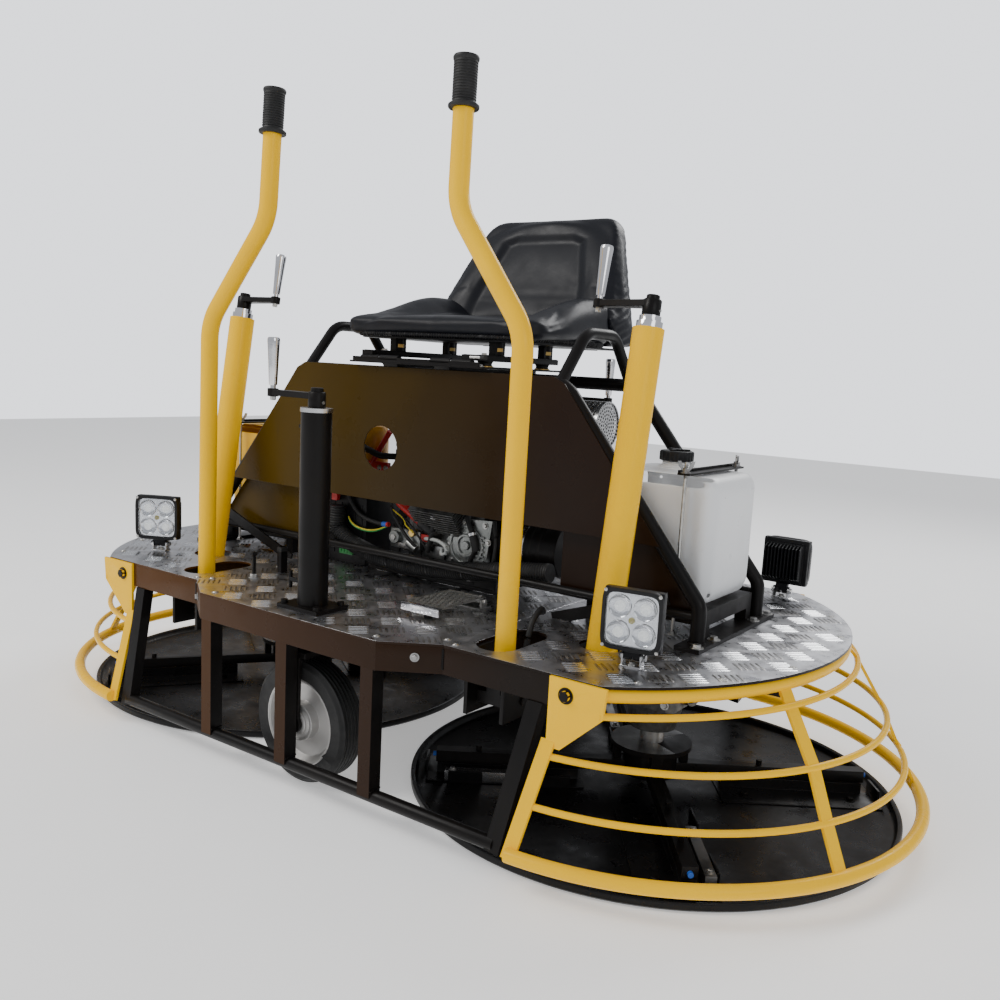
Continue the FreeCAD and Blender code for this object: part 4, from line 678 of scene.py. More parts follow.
def pedal():
    """An expanded-metal foot plate with a folded bright toe edge."""
    lo, hi = box_mm("foot_pedal")
    b = Build()
    z0, z1 = hi.z - 3, hi.z
    nx, ny = 8, 11
    x0, x1, y0, y1 = lo.x + 4, hi.x - 4, lo.y + 12, lo.y + 148
    w, d = (x1 - x0) / nx, (y1 - y0) / ny
    for j in range(ny):
        for i in range(nx - (j % 2)):
            cx, cy = x0 + w * (i + 0.5 + 0.5 * (j % 2)), y0 + d * (j + 0.5)
            outer = [(-w / 2, 0), (-w * 0.12, -d / 2 - d * 0.18), (w * 0.12, -d / 2 - d * 0.18), (w / 2, 0),
                (w * 0.12, d / 2 + d * 0.18), (-w * 0.12, d / 2 + d * 0.18)]
            inner = [(p[0] * 0.66, p[1] * 0.6) for p in outer]
            vs = [(cx + p[0], cy + p[1], z) for z in (z0, z1) for p in outer]
            vs += [(cx + p[0], cy + p[1], z + (0.6 if z == z1 else 0)) for z in (z0, z1) for p in inner]
            fs = []
            for k in range(6):
                n = (k + 1) % 6
                fs += [[6 + k, 6 + n, 18 + n, 18 + k], [k, 12 + k, 12 + n, n],
                    [12 + k, 18 + k, 18 + n, 12 + n], [k, n, 6 + n, 6 + k]]
            b.add(vs, fs, "zinc")
    b.block((lo.x, lo.y, z0), (hi.x, lo.y + 13, z1), "chrome", bevel=1.2)
    b.block((lo.x, lo.y, lo.z + 5), (hi.x, lo.y + 3, z1), "chrome", bevel=1.2)
    for low, high in (
            ((lo.x, lo.y, z0), (lo.x + 6, lo.y + 151, z1)),
            ((hi.x - 6, lo.y, z0), (hi.x, lo.y + 151, z1)),
            ((lo.x, lo.y + 140, z0), (hi.x, lo.y + 151, z1)),
            ((lo.x + 21, -232, z0 - 8), (hi.x - 21, -206, z0 + 1))):
        b.block(low, high, "zinc", bevel=1)
    b.rod((lo.x + 21, -208, 372), (hi.x - 21, -208, 372), 6, "zinc")
    b.rod((lo.x + 11, -208, 372), (hi.x - 11, -208, 372), 4, "steel")
    b.done("foot_pedal_grating", "pedal", ["foot_pedal"])


# ------------------------------------------------------------------ levers, cranks, jacks
def grips():
    for side, hand in SIDES:
        foot_end, top_end = Vector((side * 251, -366, 1126)), Vector((side * 247, -355, 1379))
        d = (top_end - foot_end).normalized()
        prof = [(19.2, 0), (27, 0), (28.2, 2), (28, 6), (25, 8.5), (21.5, 10)]
        for k in range(14):
            z = 12 + 4.8 * k
            prof += [(20.7, z), (20.7, z + 1.6), (21.9, z + 2.4), (21.9, z + 4)]
        prof += [(21.5, 80), (23.2, 82), (23.6, 86), (22, 89), (12, 89.8), (0, 90)]
        b = Build()
        b.lathe(prof, "rubber", along(top_end - d * 84, d), 40)
        b.done(hand + "_grip_rubber", hand + "_lever", [hand + "_grip"])


def cranks():
    """Hub, tapered arm, eye and bright turning grip of the four cranks."""
    base, up = COLUMN_FOOT * 1000 + LEAN * 602.5, Vector((0, 0, 1))
    specs = (
        ("right_pitch_crank", base, LEAN, -1, 110),
        ("left_pitch_crank", Vector((-base.x, base.y, base.z)), LEAN, 1, 110),
        ("front_jack_crank", Vector((0, -JACK_Y, 753.5)), up, -1, 124),
        ("rear_jack_crank", Vector((0, JACK_Y, 753.5)), up, 1, 124))
    for node, hub, up, way, reach in specs:
        arm = Vector((way, 0, 0))
        b = Build()
        m = along(hub, up)
        b.lathe([(8, -30), (8, 0), (16.5, 0.5), (17, 2), (17, 28), (15.5, 30), (12.5, 30.5), (12, 37),
            (10.5, 38), (0, 38)], "black", m, 32)
        side = up.cross(arm)
        pts = []
        for t, half in ((4, 15), (30, 12.5), (70, 10), (reach - 4, 8.8)):
            pts.append((hub + arm * t, half))
        verts, faces = [], []
        for p, half in pts:
            for h, wscale in ((16, 0.9), (16.5, 1.0), (27.5, 1.0), (28, 0.9)):
                verts += [tuple(p + up * h + side * half * wscale),
                    tuple(p + up * h - side * half * wscale)]
        for r in range(3):
            a, c = r * 8, (r + 1) * 8
            for q in ((0, 2), (2, 4), (4, 6)):
                faces += [[a + q[0], a + q[1], c + q[1], c + q[0]],
                    [a + q[0] + 1, c + q[0] + 1, c + q[1] + 1, a + q[1] + 1]]
            faces += [[a, c, c + 1, a + 1], [a + 6, a + 7, c + 7, c + 6]]
        faces += [[0, 1, 3, 2], [2, 3, 5, 4], [4, 5, 7, 6], [24, 26, 27, 25], [26, 28, 29, 27],
            [28, 30, 31, 29]]
        b.add(verts, faces, "black")
        eye = along(hub + arm * reach, up)
        b.lathe([(0, 14), (10, 14), (11, 15), (11, 29), (10, 30), (0, 30)], "black", eye, 28)
        b.hexbolt(hub + arm * reach + up * 14.5, -up, 6, 8, "zinc")
        b.lathe([(5.5, 29.5), (5.5, 36), (7.8, 36.4), (8.4, 40), (9.8, 75), (11.2, 105), (12.3, 121),
            (12.3, 125.5), (11.2, 129), (8.5, 130), (0, 130.2)], "chrome", eye, 36)
        b.rod(hub + up * 10 - arm * 13.5, hub + up * 10 - arm * 19, 3, "zinc", 12)
        b.done(node + "_parts", node, [node])


def column_dress():
    for side, hand in SIDES:
        top = Vector((side * COLUMN_FOOT.x, *COLUMN_FOOT.yz)) + LEAN * 0.58

        def rule(c, n, top=top):
            return "chrome" if (c - top).dot(LEAN) > 0.0002 else "yellow"
        dress(hand + "_pitch_column", rule)


def jack_dress():
    for end in ("front", "rear"):
        dress(end + "_jack_tube", lambda c, n: "stainless" if c.z > 0.7452 else "black",
            0.001)
        dress(end + "_jack_leg", "black", 0.001)


def wheel_rule(c, n):
    return "rubber" if math.hypot(c.x, c.z - WHEEL_Z / 1000) > 0.0905 else "turned"


def wheels():
    """Tyre and rim colours, with a turned hub and a rolled rim edge on each side."""
    for end, side in (("front", -1), ("rear", 1)):
        dress(end + "_wheel", wheel_rule, 0.0008)
        b = Build()
        for s in (-1, 1):
            m = along((0, side * JACK_Y, WHEEL_Z), (0, s, 0))
            b.lathe([(38.5, 12), (38.5, 31.8), (37.5, 33), (35, 33.2), (34.5, 31.8), (25, 32.2),
                (24.5, 36.5), (23.2, 37.4), (15, 37.4), (14.2, 36.2), (11, 36.2)], "turned", m, 48)
            b.lathe([(80, 15), (86.8, 31.2), (88, 31.8), (89.2, 31.6), (89.8, 30.2)], "turned", m, 72)
        b.done(end + "_wheel_details", end + "_wheel")


# ------------------------------------------------------------------ seat
def remesh(name, me, voxel):
    """An evenly remeshed object, ready to be puffed or smoothed."""
    me.name = name
    me.materials.clear()
    ob = bpy.data.objects.new(name, me)
    bpy.context.scene.collection.objects.link(ob)
    mod = ob.modifiers.new("voxels", "REMESH")
    mod.mode, mod.voxel_size = "VOXEL", voxel
    apply_all(ob)
    return ob


def apply_all(ob):
    """Bakes the modifiers of an object into its mesh."""
    deps = bpy.context.evaluated_depsgraph_get()
    me = bpy.data.meshes.new_from_object(ob.evaluated_get(deps))
    old = ob.data
    ob.modifiers.clear()
    ob.data = me
    if old.users == 0:
        bpy.data.meshes.remove(old)


def puff(ob, hold, frames=18, limit=0.005):
    """Cloth under pressure; hold(point) says how firmly a point is pinned."""
    before = [v.co.copy() for v in ob.data.vertices]
    group = ob.vertex_groups.new(name="pin")
    for i, p in enumerate(before):
        if hold(p) > 0.3:
            group.add([i], min(1.0, hold(p)), "REPLACE")
    mod = ob.modifiers.new("cloth", "CLOTH")
    s = mod.settings
    s.quality, s.mass, s.time_scale = 5, 0.3, 1.0
    s.tension_stiffness = s.compression_stiffness = 14
    s.shear_stiffness, s.bending_stiffness = 8, 0.6
    s.use_pressure, s.uniform_pressure_force = True, 4.0
    s.vertex_group_mass = "pin"
    s.effector_weights.gravity = 0
    mod.point_cache.frame_start, mod.point_cache.frame_end = 1, frames
    scene = bpy.context.scene
    for f in range(1, frames + 1):
        scene.frame_set(f)
    apply_all(ob)
    scene.frame_set(1)
    for v, p in zip(ob.data.vertices, before):
        d = v.co - p
        if d.length > limit:
            v.co = p + d.normalized() * limit
    soften(ob, 4)


def smoothstep(x, a, b):
    t = min(1.0, max(0.0, (x - a) / (b - a)))
    return t * t * (3 - 2 * t)


def bell(x, centre, width):
    return math.exp(-((x - centre) / width) ** 2)


def cushion_top(x, y):
    """Height of the cushion's top: a dished middle between two rising bolsters."""
    base = 0.95 + 0.012 * smoothstep(y, -0.1, 0.2)
    rise = 0.049 * smoothstep(y, -0.085, 0.15) * smoothstep(abs(x), 0.11, 0.215)
    groove = 0.005 * bell(abs(x), 0.15, 0.0055) * smoothstep(y, -0.08, -0.04)
    return base + rise - groove


def cushion_shape(p, lo, hi):
    """Moves a point of the rounded block to the cushion's shape."""
    t = (p.z - lo.z) / (hi.z - lo.z)
    top = cushion_top(p.x, p.y) + 0.0014 * noise.noise(Vector((p.x * 9, p.y * 9, 3)))
    lean = 0.006 * (1 - t) * smoothstep(-p.y, 0.06, 0.12)
    back = 0.232 - 0.042 * smoothstep(p.z, lo.z, lo.z + 0.06)
    y = min(p.y + lean, back + (0.02 if t > 0.75 else 0.0) * smoothstep(t, 0.75, 1.0))
    wide = 1 + 0.048 * (1 - smoothstep(p.y, 0.0, 0.16))
    return Vector((p.x * wide, y, lo.z + t * (top - lo.z)))


def rounded_block(name, lo, hi, radius, voxel):
    """A closed block with rounded edges and an even mesh."""
    bm = bmesh.new()
    bmesh.ops.create_cube(bm, size=1)
    for v in bm.verts:
        v.co = Vector([lo[i] + (hi[i] - lo[i]) * (v.co[i] + 0.5) for i in range(3)])
    bmesh.ops.bevel(bm, geom=bm.edges[:], offset=radius, segments=6, profile=0.5, affect="EDGES")
    me = bpy.data.meshes.new(name)
    bm.to_mesh(me)
    bm.free()
    ob = remesh(name, me, voxel)
    soften(ob, 3)
    return ob


def make_cushion():
    lo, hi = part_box("seat_cushion")
    ob = rounded_block("seat_cushion_vinyl", lo, hi, 0.034, PAD_VOXEL)
    for v in ob.data.vertices:
        v.co = cushion_shape(v.co, lo, hi)
    def hold(p):
        if p.z < lo.z + 0.01:
            return 1.0
        return bell(abs(p.x), 0.15, 0.007) if p.z > lo.z + 0.03 else 0.0
    puff(ob, hold)
    for v in ob.data.vertices:
        v.co.z = min(v.co.z, hi.z + 0.006)
        v.co.x = max(lo.x - 0.013, min(hi.x + 0.013, v.co.x))
        v.co.y = max(v.co.y, lo.y - 0.004)
    finish_pad(ob, "seat_cushion")


def soften(ob, rounds):
    """Rounds the corners of a remeshed block."""
    mod = ob.modifiers.new("soft", "SMOOTH")
    mod.factor, mod.iterations = 0.5, rounds
    apply_all(ob)


def finish_soft(ob, node, body, key):
    """One subdivision, then material, smooth shading and body; the CAD node it replaces is hidden."""
    sub = ob.modifiers.new("sub", "SUBSURF")
    sub.levels = sub.render_levels = 1
    apply_all(ob)
    ob.data.materials.clear()
    ob.data.materials.append(mat(key))
    ob.data.shade_smooth()
    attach(ob, body)
    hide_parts(node)


def finish_pad(ob, node):
    finish_soft(ob, node, "seat", "vinyl")


def back_front(z):
    """Depth of the back's front face at a height."""
    rows = ((0.909, 0.236), (0.966, 0.195), (1.0, 0.217), (1.04, 0.238), (1.08, 0.256), (1.12, 0.276),
        (1.16, 0.297), (1.2, 0.318), (1.222, 0.345))
    for (z0, y0), (z1, y1) in zip(rows, rows[1:]):
        if z <= z1:
            return y0 + (y1 - y0) * max(0.0, (z - z0) / (z1 - z0))
    return rows[-1][1]


def panel_edge(p):
    """How far inside the recessed front panel a point of the back lies."""
    half = 0.168 - 0.05 * smoothstep(p.z, 0.99, 1.2)
    side = half - abs(p.x)
    top = 1.178 - p.z - 0.35 * max(0.0, abs(p.x) - half + 0.04)
    return min(side, top)


def make_back():
    lo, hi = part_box("seat_back")
    ob = remesh("seat_back_vinyl", NODES["seat_back"].data.copy(), PAD_VOXEL)
    soften(ob, 16)
    for i in range(3):
        at = [v.co[i] for v in ob.data.vertices]
        grow = (hi[i] - lo[i]) / (max(at) - min(at))
        for v in ob.data.vertices:
            v.co[i] = (lo[i] + hi[i]) / 2 + (v.co[i] - (max(at) + min(at)) / 2) * grow
    def hold(p):
        if p.z < lo.z + 0.02:
            return 1.0
        return bell(panel_edge(p), 0.0, 0.006) if p.y - back_front(p.z) < 0.024 else 0.0
    puff(ob, hold)
    for v in ob.data.vertices:
        p = v.co
        near = 1 - smoothstep(p.y - back_front(p.z), 0.016, 0.04)
        inside = panel_edge(p)
        dy = near * 0.014 * smoothstep(inside, -0.006, 0.026)
        low = (1 - smoothstep(p.z, 1.03, 1.075)) * smoothstep(abs(p.x), 0.205, 0.235)
        pleat = 0.0028 * low * math.sin(2 * PI * (p.y + 0.35 * p.z) / 0.0135)
        p.x += math.copysign(pleat, p.x)
        dy += 0.0016 * noise.noise(Vector((p.x * 11, 1, p.z * 11)))
        p.y += dy
        p.x = max(lo.x - 0.006, min(hi.x + 0.006, p.x))
        p.z = min(p.z, hi.z + 0.006)
        p.y = max(p.y, lo.y - 0.004)
    finish_pad(ob, "seat_back")


def seat_trim():
    """Ribbed edging round the cushion, slides and mounts."""
    lo, hi = box_mm("seat_cushion")
    b = Build()
    z = lo.z + 4
    mid, half_y = (lo + hi) / 2, (hi.y - lo.y - 10) / 2
    ring = [(mid.x + u * (hi.x - 4), mid.y + v * half_y, z) for u, v in soft_square(72)]
    b.tube(ring + ring[:1], 4.6, "plastic", 12, wave=1.1, pitch=7, caps=False)
    b.done("seat_piping", "seat")
    b = Build()
    b.block((-229, -94, 900.2), (229, 304, 904.8), "plastic", bevel=1.5)
    for s in (-1, 1):
        x = s * 150
        b.block((x - 20, 296, 899), (x + 20, 306, 904.8), "black", bevel=1)
        verts = []
        for y, z in ((300.5, 902), (354, 1129)):
            for dy in (-1, 4.4):
                verts += [(x - 19.5, y + dy, z), (x + 19.5, y + dy, z)]
        b.add(verts, [[0, 1, 3, 2], [5, 4, 6, 7], [0, 4, 5, 1], [2, 3, 7, 6], [0, 2, 6, 4], [1, 5, 7, 3]],
            "black")
        for z in (980, 1090):
            b.hexbolt((x, 300.5 + (z - 902) * 0.2357 + 4.4, z), (0, 1, -0.2), 5, 3.2, "zinc", 8)
        for y in (-70, 120):
            b.block((s * 140 - 8.8, y - 18, 865.2), (s * 140 + 8.8, y + 18, 900.4), "black", bevel=1)
            b.rod((s * 140, y, 872), (s * 140, y, 900), 12.5, "black", 20)
            b.rod((s * 140, y, 880), (s * 140, y, 888), 15, "brass", 6)
    b.done("seat_shell_built", "seat", ["seat_shell"])
    b = Build()
    plo, phi = box_mm("seat_plate")
    for s in (-1, 1):
        x = s * 140
        b.block((x - 15.5, plo.y + 8, phi.z - 12.2), (x + 15.5, phi.y - 8, phi.z - 0.2), "black", bevel=1.5)
        b.block((x - 19.5, plo.y + 20, phi.z - 11), (x - 15.8, phi.y - 20, phi.z + 0.6), "black", bevel=0.8)
        b.block((x + 15.8, plo.y + 20, phi.z - 11), (x + 19.5, phi.y - 20, phi.z + 0.6), "black", bevel=0.8)
        for y in (-115, 115):
            b.hexbolt((x, y, phi.z), (0, 0, 1), 6.2, 3.5, "zinc", 9.5)
        for y in (-110, 110):
            m4 = shift(x, y, 846.9)
            b.lathe([(0, 0), (16.6, 0), (17, 1.5), (15, 3.5), (14.2, 6.2), (15, 9), (16.8, 10.8),
                (16.6, 12.2), (0, 12.2)], "rubber", m4, 28)
            b.lathe([(17.1, 0.4), (17.8, 0.4), (17.8, 2), (17.1, 2)], "brass", m4, 28, True)
    b.block((-185, plo.y, 843), (185, phi.y, 847), "black", bevel=1)
    b.block((-176, plo.y, 846.5), (176, plo.y + 4, 856), "black", bevel=1)
    for x in (-168, -56, 56, 168):
        b.hexbolt((x, plo.y + 16, 847), (0, 0, 1), 5.2, 3.6, "zinc", 8.5, x * 0.009)
    for x0 in (-154, 102):
        b.rod((x0 + 0.4, -172, 852), (x0 + 51.6, -172, 852), 8.9, "black", 24)
        tip, way = (x0 + 51.6, 1) if x0 < 0 else (x0 + 0.4, -1)
        b.rod((tip, -172, 852), (tip + way * 9, -172, 852), 7.2, "chrome", 24)
        b.block((x0 + 2, -170, 846.5), (x0 + 50, -144, 850), "black", bevel=0.8)
    b.rod((150, plo.y + 5, 865.6), (182, plo.y + 5, 865.6), 3.2, "zinc", 12)
    b.rod((181, plo.y + 2, 865.6), (196, plo.y - 4, 865.6), 5, "rubber", 16)
    b.done("seat_slides", "seat_base", ["seat_plate"])


# ------------------------------------------------------------------ tanks
def tank_body(node, side, key):
    """A blow-moulded tank: soft edges, a seam, and recessed panels front and rear."""
    ob = remesh(node + "_shell", NODES[node].data.copy(), 0.006)
    neck = Vector((side * TANK_X / 1000, 0.02, 0))
    for v in ob.data.vertices:
        p = v.co
        if p.z > 0.668 or math.hypot(p.x - neck.x, p.y - neck.y) < 0.04:
            continue
        ax = abs(p.x)
        inside = smoothstep(p.z, 0.44, 0.462) * (1 - smoothstep(p.z, 0.626, 0.648))
        front = smoothstep(-p.y, 0.1, 0.11)
        rear = smoothstep(p.y, 0.1, 0.11)
        panel = smoothstep(ax, 0.462, 0.478) * (1 - smoothstep(ax, 0.636, 0.652)) * inside
        p.y += (front - rear) * panel * 0.001
        seam = bell(p.y, 0.0, 0.0025) * (1 - smoothstep(p.z, 0.668, 0.669))
        p.x += math.copysign(1, p.x) * seam * 0.0012 * smoothstep(ax, 0.66, 0.68)
        band = bell(p.z, 0.655, 0.004) * 0.0012
        p.y += (rear - front) * band
    soften(ob, 14)
    finish_soft(ob, node, "chassis", key)


def tank_top(side, cap, key):
    """A knurled screw cap with raised grip blocks, over a threaded neck."""
    m = shift(side * TANK_X, 20, 682)
    b = Build()
    n, rings = 72, []
    for r, z in ((0, 0.2), (32.5, 0.2), (33.6, 1.5), (33.6, 17), (32.6, 19.5), (29, 20.5), (27, 19.6),
            (0, 19.6)):
        knurled = 1 < z < 18 and r > 33
        radii = [r + (0.9 if k % 3 == 0 else -0.36) * knurled for k in range(n)]
        rings.append([(q * math.cos(2 * PI * k / n), q * math.sin(2 * PI * k / n), z) for k,
            q in enumerate(radii)])
    b.skin(rings, "plastic", m)
    for k in range(3):
        b.block((6, -3.5, 19), (26.2, 3.5, 23.6), "plastic",
            m @ Matrix.Rotation(2 * PI * k / 3 + 0.5, 4, "Z"), 1.4)
    b.lathe([(0, 19), (8.5, 19), (8.5, 23.2), (7.5, 23.8), (0, 23.8)], "plastic", m, 28)
    b.done(cap + "_knurled", cap, [cap])
    b = Build()
    for k in range(3):
        z = -9.5 + 3 * k
        b.lathe([(26.6, z), (28.4, z + 0.9), (28.4, z + 1.7), (26.6, z + 2.6)], key, m, 40)
    b.lathe([(26.6, -11.8), (35, -11.8), (35, -9.8), (26.6, -9.2)], key, m, 40)
    b.done(cap + "_neck", "chassis")


def strap_details():
    """Angle bars over the tanks, threaded rods and wing nuts."""
    b = Build()
    for side in (-1, 1):
        x = side * 622
        b.block((x - 12.5, -131.5, 670.2), (x + 12.5, 131.5, 674), "black", bevel=0.8)
        b.block((x - 12.5, -130, 673.8), (x - 9.5, 130, 679), "black", bevel=0.8)
        for y in (-122, 122):
            b.rod((x, y, 366), (x, y, 694), 3.2, "zinc", 12)
            for k in range(12):
                h = 664 + k * 2.2
                b.lathe([(3.2, 0), (3.9, 1.1), (3.2, 2.2)], "zinc", shift(x, y, h), 12)
            m = shift(x, y, 674)
            b.lathe([(0, 0), (9.8, 0), (9.8, 1.4), (6.8, 1.6), (6.6, 9), (5.5, 9.8), (0, 9.8)], "steel", m,
                24)
            for s in (-1, 1):
                pts = [(s * 5.5, -1.2, 3), (s * 5.5, 1.2, 3), (s * 14, -1.4, 13), (s * 14, 1.4, 13),
                    (s * 16.5, -1.2, 22), (s * 16.5, 1.2, 22), (s * 10.5, -1.2, 22.5),
                    (s * 10.5, 1.2, 22.5), (s * 5, -1.2, 8.8), (s * 5, 1.2, 8.8)]
                fc = [[0, 2, 4, 6, 8], [9, 7, 5, 3, 1], [0, 1, 3, 2], [2, 3, 5, 4], [4, 5, 7, 6],
                    [6, 7, 9, 8], [8, 9, 1, 0]]
                b.add(pts, fc, "steel", m @ Matrix.Rotation(0.7 if y < 0 else 2.1, 4, "Z"))
            b.hexbolt((x, y, 366), (0, 0, 1), 6.2, 5, "zinc", 9.5, 0.3)
    b.done("tank_strap_set", "chassis", ["tank_straps"])


# ------------------------------------------------------------------ lights
def lamp(node, x, y, turn):
    """A square work light: tapered fins, rounded bezel, lens over four bright chips."""
    b = Build()
    base = shift(x, y, 375) @ Matrix.Rotation(math.radians(turn), 4, "Z")
    mid, half = 67, 54
    centre = base @ shift(0, 0, mid)
    out = base @ along((0, 0, mid), (0, -1, 0))
    b.block((-half + 1, -18, -half + 1), (half - 1, -0.5, half - 1), "plastic", centre, 6)
    b.block((-43, -1, -43), (43, 7.8, 43), "plastic", centre, 3)
    for k in range(11):
        u = -40 + 8 * k
        fin = [(0, -44), (25.5, -34), (25.5, 34), (0, 44)]
        pts = [(u + w, fy, fz) for w in (-1.4, 1.4) for fy, fz in fin]
        b.add(pts, [[0, 1, 2, 3], [7, 6, 5, 4], [0, 4, 5, 1], [1, 5, 6, 2], [2, 6, 7, 3], [3, 7, 4, 0]],
            "plastic", centre)
    bezel = ((half, 10), (half, 23.5), (53.2, 25.6), (49, 26.2), (46.8, 25.6), (45.8, 22.2))
    b.skin([[(u * r, v * r, d) for u, v in soft_square(48)] for r, d in bezel], "plastic", out)
    b.block((-46, -20.5, -46), (46, -18.5, 46), "chrome", centre, 1)
    for k in range(4):
        spin = out @ Matrix.Rotation(k * PI / 2, 4, "Z")
        chip = spin @ shift(22.5, 22.5, 0)
        b.lathe([(20, 23.6), (18, 21.6), (12, 20.6), (0, 20.6)], "chrome", chip, 28)
        b.lathe([(9.5, 20.6), (9.5, 21.6), (7, 22.6), (0, 22.9)], "led", chip, 24)
        b.lathe([(0, 26.8), (1.4, 26.8), (1.8, 27.2), (3, 27), (3.4, 25.8)], "zinc",
            spin @ shift(47.8, 47.8, -0.8), 16)
    b.lathe([(5.5, 20.6), (5.5, 22.2), (3.5, 23), (0, 23.2)], "wire_yellow", out, 20)
    b.block((-45.5, -25, -45.5), (45.5, -24, 45.5), "lens", centre, 0.3)
    b.block((-13.8, -6.8, 0), (13.8, 6.8, 16.5), "plastic", base, 2)
    for side in (-1, 1):
        def pin(d):
            return base @ Vector((side * d, 0, 0))
        b.rod(pin(2), pin(18), 6.8, "plastic", 24)
        b.rod(pin(14), pin(22.5), 3.9, "stainless", 16)
        b.hexbolt(pin(18.2), base.to_3x3() @ Vector((side, 0, 0)), 6.2, 4.5, "stainless", 8.5)
    b.done(node + "_assembly", node, [node])
    b = Build()
    lead = ((6, 3, 3), (8, 12, 1), (9, 19, -6), (9.5, 21, -14))
    b.tube([base @ Vector(p) for p in lead], 3, "rubber", 10)
    b.hexbolt(base @ Vector((0, 0, -14)), (0, 0, 1), 6.2, 3.6, "zinc", 9)
    b.done(node + "_lead", "chassis")


def lamps():
    lamp("front_right_light", 650, -335, 9)
    lamp("front_left_light", -660, -335, 29)
    lamp("rear_right_light", 650, 397, 180)
    lamp("rear_left_light", -650, 397, 180)
    dress("light_brackets", "stainless", 0.0006)


# ------------------------------------------------------------------ engine bay
def turn_x(deg, place):
    return Matrix.Translation(place) @ Matrix.Rotation(math.radians(deg), 4, "X")


def engine_block(b):
    """Crankcase casting with ribs, sump flange and bolts."""
    b.block((-80, -78, 392), (140, 98, 520), "cast", bevel=6)
    b.block((-78, -79.5, 378), (138, 100, 394), "cast", bevel=2)
    for k in range(8):
        x = -68 + 28 * k
        b.block((x - 2, -79.8, 400), (x + 2, -74, 512), "cast", bevel=1)
        b.block((x - 2, 96, 400), (x + 2, 99.8, 512), "cast", bevel=1)
        b.hexbolt((x + 12, -78, 386), (0, -1, 0), 4, 1.8, "zinc")
    for z in (428, 470, 506):
        b.block((-76, -79.4, z), (136, -75, z + 3), "cast", bevel=1)
    for x in (-70, 90):
        b.block((x, -98, 358), (x + 40, 124, 378), "black", bevel=2)
        for y in (-88, 112):
            b.hexbolt((x + 20, y, 378), (0, 0, 1), 8.5, 7, "zinc", 13)


def engine_barrel(b, side):
    m = turn_x(-side * 38, (0, 10, 420))
    b.block((-30, -41, 62), (80, 41, 172), "cast", m, 6)
    for k in range(10):
        z = 104 + 7 * k
        b.block((-38, -52, z), (88, 52, z + 2.8), "cast", m, 1.2)
    b.block((-28, -40, 171), (78, 40, 190), "cast", m, 7)
    b.block((-18, -28, 188), (68, 28, 196), "black", m, 4)
    for x in (-18, 68):
        for y in (-32, 32):
            p = m @ Vector((x, y, 190))
            b.hexbolt(p, m.to_3x3() @ Vector((0, 0, 1)), 4.6, 3.5, "zinc", 7.2)
    p0 = m @ Vector((25, side * 40, 150))
    out = m.to_3x3() @ Vector((0, side, 0))
    b.rod(p0, p0 + out * 10, 7, "white", 16)


def blower(b):
    """Round fan housing with a slotted screen."""
    m = along((138, 10, 484), (1, 0, 0))
    b.lathe([(0, 0.2), (96, 0.2), (97.8, 2), (97.8, 30), (93, 41), (80, 44.5), (78, 38), (0, 38)], "black",
        m, 64)
    for k in range(7):
        r = 20 + 8.5 * k
        b.lathe([(r - 1.2, 42), (r + 1.2, 42), (r + 1.2, 44), (r - 1.2, 44)], "black", m, 48, True)
    for k in range(8):
        q = m @ Matrix.Rotation(k * PI / 4, 4, "Z")
        b.block((8, -1.6, 40.5), (78, 1.6, 43), "black", q, 0.6)
    for k in range(6):
        a = k * PI / 3 + 0.2
        p = m @ Vector((87.5 * math.cos(a), 87.5 * math.sin(a), 40.5))
        b.hexbolt(p, (1, 0, 0), 4.5, 3, "zinc", 6.8)
    m = along((184, -40, 470), (1, 0, 0))
    rows = [(0, 0), (56, 0), (59, 2.5), (59, 10), (57.2, 12)]
    for k in range(5):
        z = 20 + 22 * k
        rows += [(57.2, z), (58.6, z + 2), (58.6, z + 6), (57.2, z + 8)]
    rows += [(57.2, 136), (59.6, 137.5), (59.6, 147.5), (58, 149.6), (54.5, 149.6), (53.5, 145), (0, 145)]
    b.lathe(rows, "black", m, 56)
    b.lathe([(59.8, 60), (60, 60.5), (60, 69.5), (59.8, 70), (58.6, 70), (58.6, 60)], "stainless", m, 56,
        True)
    b.block((-60, -4, 60), (-57, 10, 70), "stainless", m, 0.6)
    b.lathe([(0, 144.8), (10, 144.8), (10, 149), (8.5, 149.8), (0, 149.8)], "zinc", m, 20)


def air_cleaner(b):
    b.block((-50, -50, 634), (100, 70, 676), "plastic", bevel=12)
    b.block((-44, -44, 674), (94, 64, 689), "plastic", bevel=7)
    b.block((-50, -50, 630.5), (100, 70, 635), "black", bevel=2)
    for k in range(9):
        x = -30 + 14 * k
        b.block((x - 1.8, -36, 687), (x + 1.8, 56, 689.9), "plastic", bevel=0.8)
    for y in (-51, 68.5):
        b.block((18, y, 646), (32, y + 2, 672), "stainless", bevel=0.6)
    b.block((-10, -20, 558), (50, 40, 632), "cast", bevel=6)
    for k in range(3):
        b.block((-10.5, -20.5, 574 + 16 * k), (50.5, 40.5, 577 + 16 * k), "cast", bevel=1)
    b.rod((50, 10, 596), (66, 10, 596), 9, "brass", 20)


